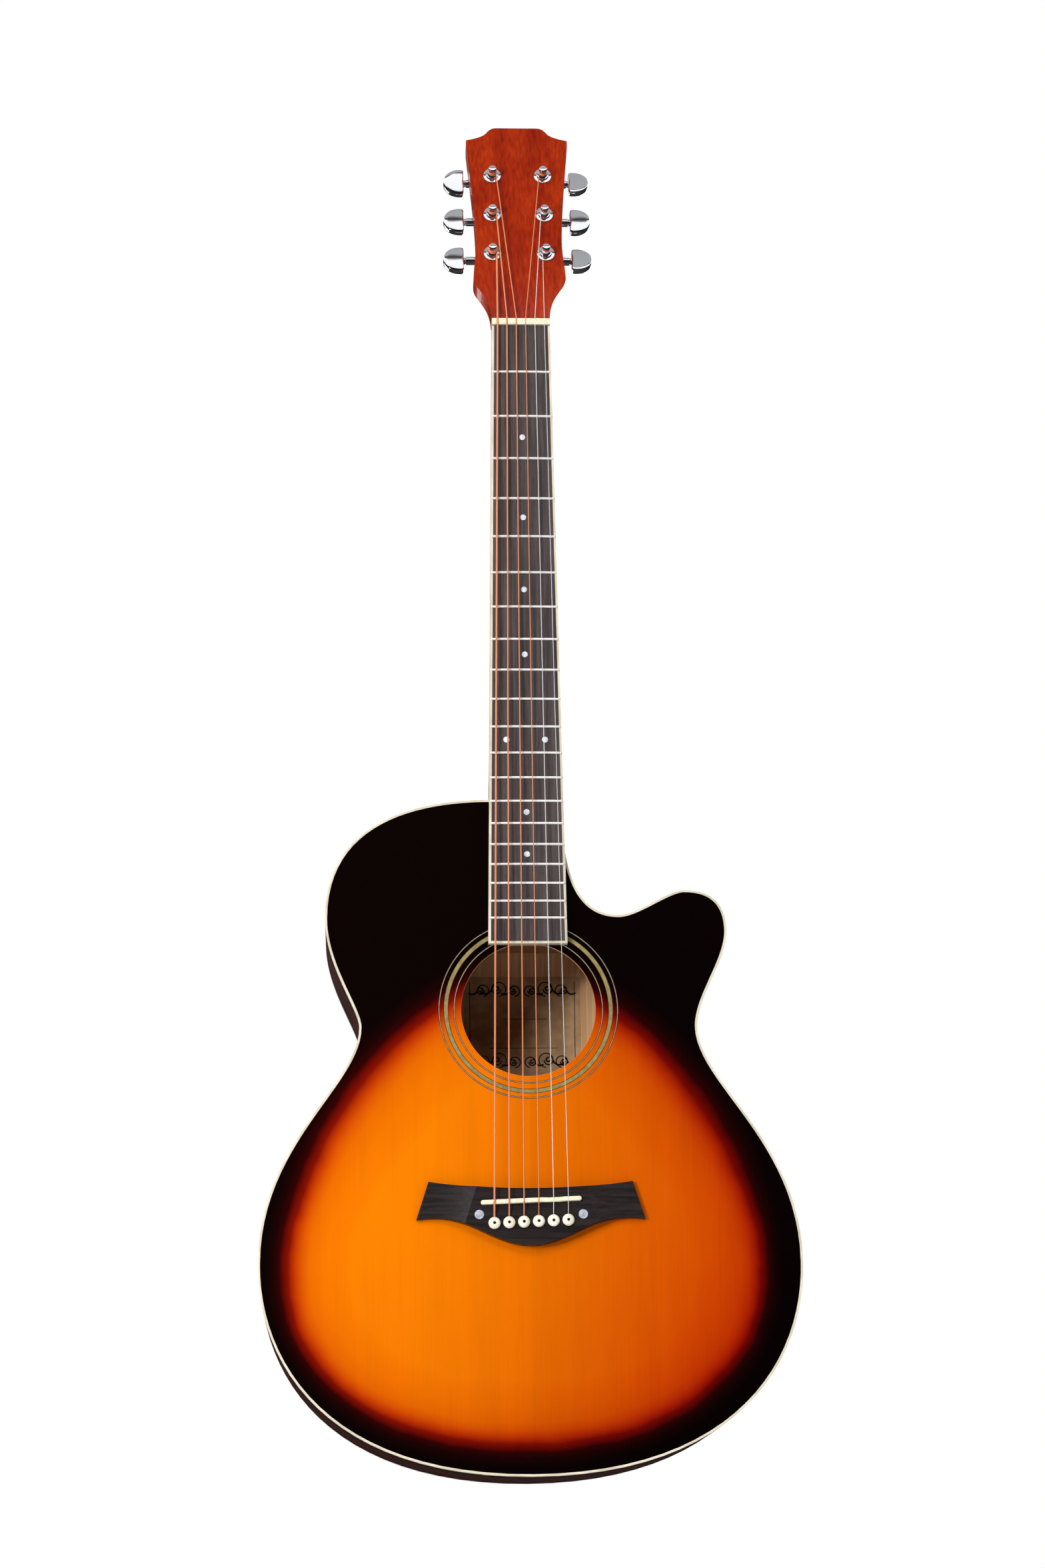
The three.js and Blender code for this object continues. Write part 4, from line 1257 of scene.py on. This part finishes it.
def winding(index):
    """A helix of string round the waist, starting on the inner side of the head."""
    radius = STRING_RADII[index]
    pitch = 2.1 * radius
    turns = max(2, min(4, int((COIL_HIGH - COIL_LOW) / pitch)))
    bm = bmesh.new()
    bmesh.ops.create_circle(bm, cap_ends=False, segments=10, radius=radius)
    moved(bm, turn(90, "X"), shift(-WAIST - radius, 0, COIL_LOW))
    steps = turns * 20
    bmesh.ops.spin(bm, geom=[*bm.verts, *bm.edges], cent=(0, 0, 0), axis=(0, 0, 1),
                   dvec=(0, 0, pitch * turns / steps), angle=-math.tau * turns, steps=steps,
                   use_merge=False, use_duplicate=False)
    bmesh.ops.holes_fill(bm, edges=[e for e in bm.edges if e.is_boundary])
    bmesh.ops.recalc_face_normals(bm, faces=bm.faces)
    return bm


for i in range(6):
    across = moved(drill(0.9, -5, 5, 16), turn(90, "X"), shift(0, 0, 6.0))
    post = cut_away(turned(POST_PROFILE, 40), across)
    fit(f"string_post_{i + 1}", post, chrome_finish, f"tuner_post_{i + 1}",
        stands_for=[f"tuner_post_{i + 1}"], place=seat_of(i))
    wire, finish = WIRES[i]
    fit(f"string_winding_{i + 1}", winding(i), finish, f"tuner_post_{i + 1}",
        place=seat_of(i))

# %% [markdown]
# The button is a half-round of cast metal, thickest in its middle. Its outline is a drawn curve,
# and a loft over shrunken copies of it, which rise less and less, makes the low dome of a face.

# %% Buttons
BUTTON_START, BUTTON_LENGTH, BUTTON_HALF = 20.6, 15.6, 10.9
BUTTON_TURNS = (0, 0, 6, -10, 0, -9)  # how the buttons were left, in degrees
DOME = ((0.08, 3.2), (0.25, 3.16), (0.5, 3.04), (0.75, 2.84), (0.92, 2.6), (0.975, 2.2),
        (0.995, 1.5), (1.0, 0.7))


def button():
    start, tip, half = BUTTON_START, BUTTON_START + BUTTON_LENGTH, BUTTON_HALF
    outline = template(
        (start, -half + 2.4), (start, -half + 0.8, start + 1.0, -half, start + 3, -half),
        (start + 11, -half, tip, -6.2, tip, 0), (tip, 6.2, start + 11, half, start + 3, half),
        (start + 1.0, half, start, half - 0.8, start, half - 2.4), steps=10,
    )
    centre = shift(start + 1.5, 0, 0)
    rings = [*DOME, *[(share, -height) for share, height in DOME[::-1]]]
    knob = loft([
        moved(outline.copy(), centre.inverted(), Matrix.Diagonal((share, share, 1, 1)),
              centre @ shift(0, 0, height)) for share, height in rings
    ])
    shaft = [(0, -6), (1.7, -6), (1.7, -4), (2.3, -4), (2.3, 4), (1.7, 4), (1.7, 19.3),
             (2.5, 19.4), (2.8, 19.7), (2.8, 20.1), (2.5, 20.4), (2.5, 21.5), (0, 21.5)]
    return gather(knob, moved(turned(shaft, 28), turn(90, "Y")))


for i in range(6):
    place = seat_of(i) @ shift(0, SHAFT_UP, SHAFT_DEPTH) @ turn(BUTTON_TURNS[i], "X")
    fit(f"tuner_knob_{i + 1}", button(), chrome_finish, f"tuner_button_{i + 1}",
        stands_for=[f"tuner_button_{i + 1}"], place=place, corner=50, flat=False)

# %% [markdown]
# The truss rod's nut sits just inside the soundhole. It is a short turned barrel with a
# six-sided socket for a key, cut by a Boolean with a hexagon.

# %% Truss rod nut
TRUSS_Z, ROD_LOW = -7.0, 252.0
barrel = turned([(0, 0.2), (3.2, 0.2), (3.6, 0.6), (3.6, 11.5), (3.3, 11.9), (0, 11.9)], 32)
key = thicken(template(*[(1.8 * math.cos(math.tau * k / 6), 1.8 * math.sin(math.tau * k / 6))
                         for k in range(6)], steps=1), -1, 6)
rod_nut = moved(cut_away(barrel, key), turn(-90, "X"), shift(0, ROD_LOW - 12.3, TRUSS_Z))
fit("rod_nut", rod_nut, steel_finish, "truss_rod_nut", stands_for=["truss_rod_nut"])

# %% [markdown]
# ## Strings
#
# A string runs dead straight from nut to saddle, so it is a curve with a round section, made
# a mesh at once. Four are wound with copper and two are plain steel. Each leaves its post on
# the inner side, bends over the nut and the saddle, and goes down in front of its pin.

# %% Strings
def string_path(index):
    """The bends of one string, in the instrument's measure."""
    radius = STRING_RADII[index]
    side, x, up = POSTS[index]
    to_instrument = INSTRUMENT.inverted() @ ON_HEAD
    leave = to_instrument @ Vector((side * (x - WAIST - radius), up, COIL_LOW))
    at_nut, at_saddle = string_x(index, NUT_SPACING), string_x(index, SADDLE_SPACING)
    top = SADDLE_TOP - saddle_fall(at_saddle) + radius + 0.05
    nut_top = nut_seat(radius)
    saddle_y = SADDLE_Y + at_saddle * SLANT
    down = PIN_Y + at_saddle * SLANT + 2.4 + radius
    return [
        leave, (at_nut, SCALE + 5.4, nut_top - 0.15), (at_nut, SCALE + NUT_LENGTH / 2, nut_top),
        (at_nut, SCALE, nut_top - 0.02), (at_saddle, saddle_y + 0.8, top),
        (at_saddle, saddle_y, top + 0.03), (at_saddle, saddle_y - 0.9, top - 0.2),
        (at_saddle, saddle_y - 1.7, top - 0.75), (at_saddle, down + 1.1, BRIDGE_HEIGHT + 0.9),
        (at_saddle, down + 0.4, BRIDGE_HEIGHT + 0.3), (at_saddle, down, BRIDGE_HEIGHT - 0.8),
        (at_saddle, down - 0.2, -9),
    ]


def wire_along(points, radius):
    """A round wire through the points, as a bmesh."""
    line = bpy.data.curves.new("line", "CURVE")
    line.dimensions, line.use_fill_caps = "3D", True
    line.bevel_depth, line.bevel_resolution = radius, 3
    spline = line.splines.new("POLY")
    spline.points.add(len(points) - 1)
    for spot, point in zip(spline.points, points):
        spot.co = (*point, 1)
    bm = lifted(line, 0.0005)
    bmesh.ops.recalc_face_normals(bm, faces=bm.faces)
    return bm


for i, radius in enumerate(STRING_RADII):
    wire, finish = WIRES[i]
    fit(f"strung_{i + 1}", wire_along(string_path(i), radius), finish,
        stands_for=[f"string_{i + 1}"])

# %% [markdown]
# ## The studio
#
# A large panel on the left gives the body its shape, weaker ones fill in from the right and at
# the head, and two stand behind for the back. The front panels are hidden from mirrors, so they
# leave no blots on lacquer and chrome, and one small lamp beside them gives the glints. Chrome
# still wants something to mirror, so the sky is a ramp by height: dark below, a white band above
# the horizon, a dark notch where the flat head mirrors it, and grey overhead. Rays that reach
# the camera straight from the sky are white.

# %% Light and sky
def panel(name, place, toward, size, power, glossy=True):
    light = bpy.data.lights.new(name, "AREA")
    light.shape, light.size, light.energy = "DISK", size, power
    holder = bpy.data.objects.new(name, light)
    bpy.context.scene.collection.objects.link(holder)
    holder.visible_glossy = glossy
    direction = (Vector(toward) - Vector(place)).to_track_quat("-Z", "Y")
    holder.matrix_world = Matrix.LocRotScale(Vector(place), direction, None)


MIDDLE = (0, -0.05, -0.35)
panel("left_panel", (-1.75, -2.5, -0.1), MIDDLE, 1.1, 50, glossy=False)
panel("left_lamp", (-1.7, -2.0, -0.55), MIDDLE, 0.15, 16)
panel("right_panel", (2.3, -1.9, -0.3), MIDDLE, 1.4, 8, glossy=False)
panel("head_panel", (-0.6, -1.6, 0.5), (0, 0, 0.25), 0.6, 10, glossy=False)
panel("rear_panel", (1.2, 2.6, 0.9), MIDDLE, 2.0, 60)
panel("rear_fill", (-2.2, 2.0, -0.4), MIDDLE, 2.0, 25)

world = bpy.data.worlds.new("studio")
bpy.context.scene.world = world
world.use_nodes = True
nodes, links = world.node_tree.nodes, world.node_tree.links
direction = nodes.new("ShaderNodeTexCoord").outputs["Generated"]
split = nodes.new("ShaderNodeSeparateXYZ")
links.new(direction, split.inputs[0])
ramp = nodes.new("ShaderNodeValToRGB")
SKY = [(0.0, 0.05), (0.40, 0.02), (0.69, 0.015), (0.73, 1.2), (0.866, 1.3), (0.8715, 0.03),
       (0.886, 0.03), (0.90, 0.5), (1.0, 0.45)]
Finish.set_stops(ramp.color_ramp, [(stop, (grey, grey, grey, 1)) for stop, grey in SKY])
half = nodes.new("ShaderNodeMath")
half.operation = "MULTIPLY_ADD"
links.new(split.outputs["Z"], half.inputs[0])
half.inputs[1].default_value = half.inputs[2].default_value = 0.5
links.new(half.outputs[0], ramp.inputs[0])
paper, sky = nodes.new("ShaderNodeBackground"), nodes["Background"]
paper.inputs["Color"].default_value = (1, 1, 1, 1)
links.new(ramp.outputs[0], sky.inputs["Color"])
sky.inputs["Strength"].default_value = 0.9
mix = nodes.new("ShaderNodeMixShader")
links.new(nodes.new("ShaderNodeLightPath").outputs["Is Camera Ray"], mix.inputs[0])
links.new(sky.outputs[0], mix.inputs[1])
links.new(paper.outputs[0], mix.inputs[2])
links.new(mix.outputs[0], nodes["World Output"].inputs["Surface"])
bpy.context.scene.view_settings.view_transform = "Standard"
print("studio:", len(bpy.data.lights), "lights and a sky of", len(SKY), "steps")

# %% [markdown]
# The floor is a disc of pale paper that fades out towards its edge, so no horizon shows. The
# guitar hangs clear of it, and the camera stays above it.

# %% Floor
FLOOR_DROP = 0.3
FLOOR_RADIUS = 2.2
floor_bm = bmesh.new()
bmesh.ops.create_circle(floor_bm, cap_ends=True, segments=96, radius=FLOOR_RADIUS)
floor = shelved(moved(floor_bm, shift(0, 0, JIG_BOX[0].z - FLOOR_DROP)), "floor")
floor_finish = Finish("floor_paper", Roughness=0.9, Base_Color=tint(238, 238, 240))
x, y, z = floor_finish.place()
out = (x * x + z * z) ** 0.5
floor_finish.feed(Alpha=1 - out.fade(500, 950 * FLOOR_RADIUS))  # gone before the disc ends
floor.data.materials.append(floor_finish.material)
floor.visible_glossy = False  # chrome mirrors a dark room below, so its lower rims stay dark
print("floor at", round(JIG_BOX[0].z - FLOOR_DROP, 3), "m")
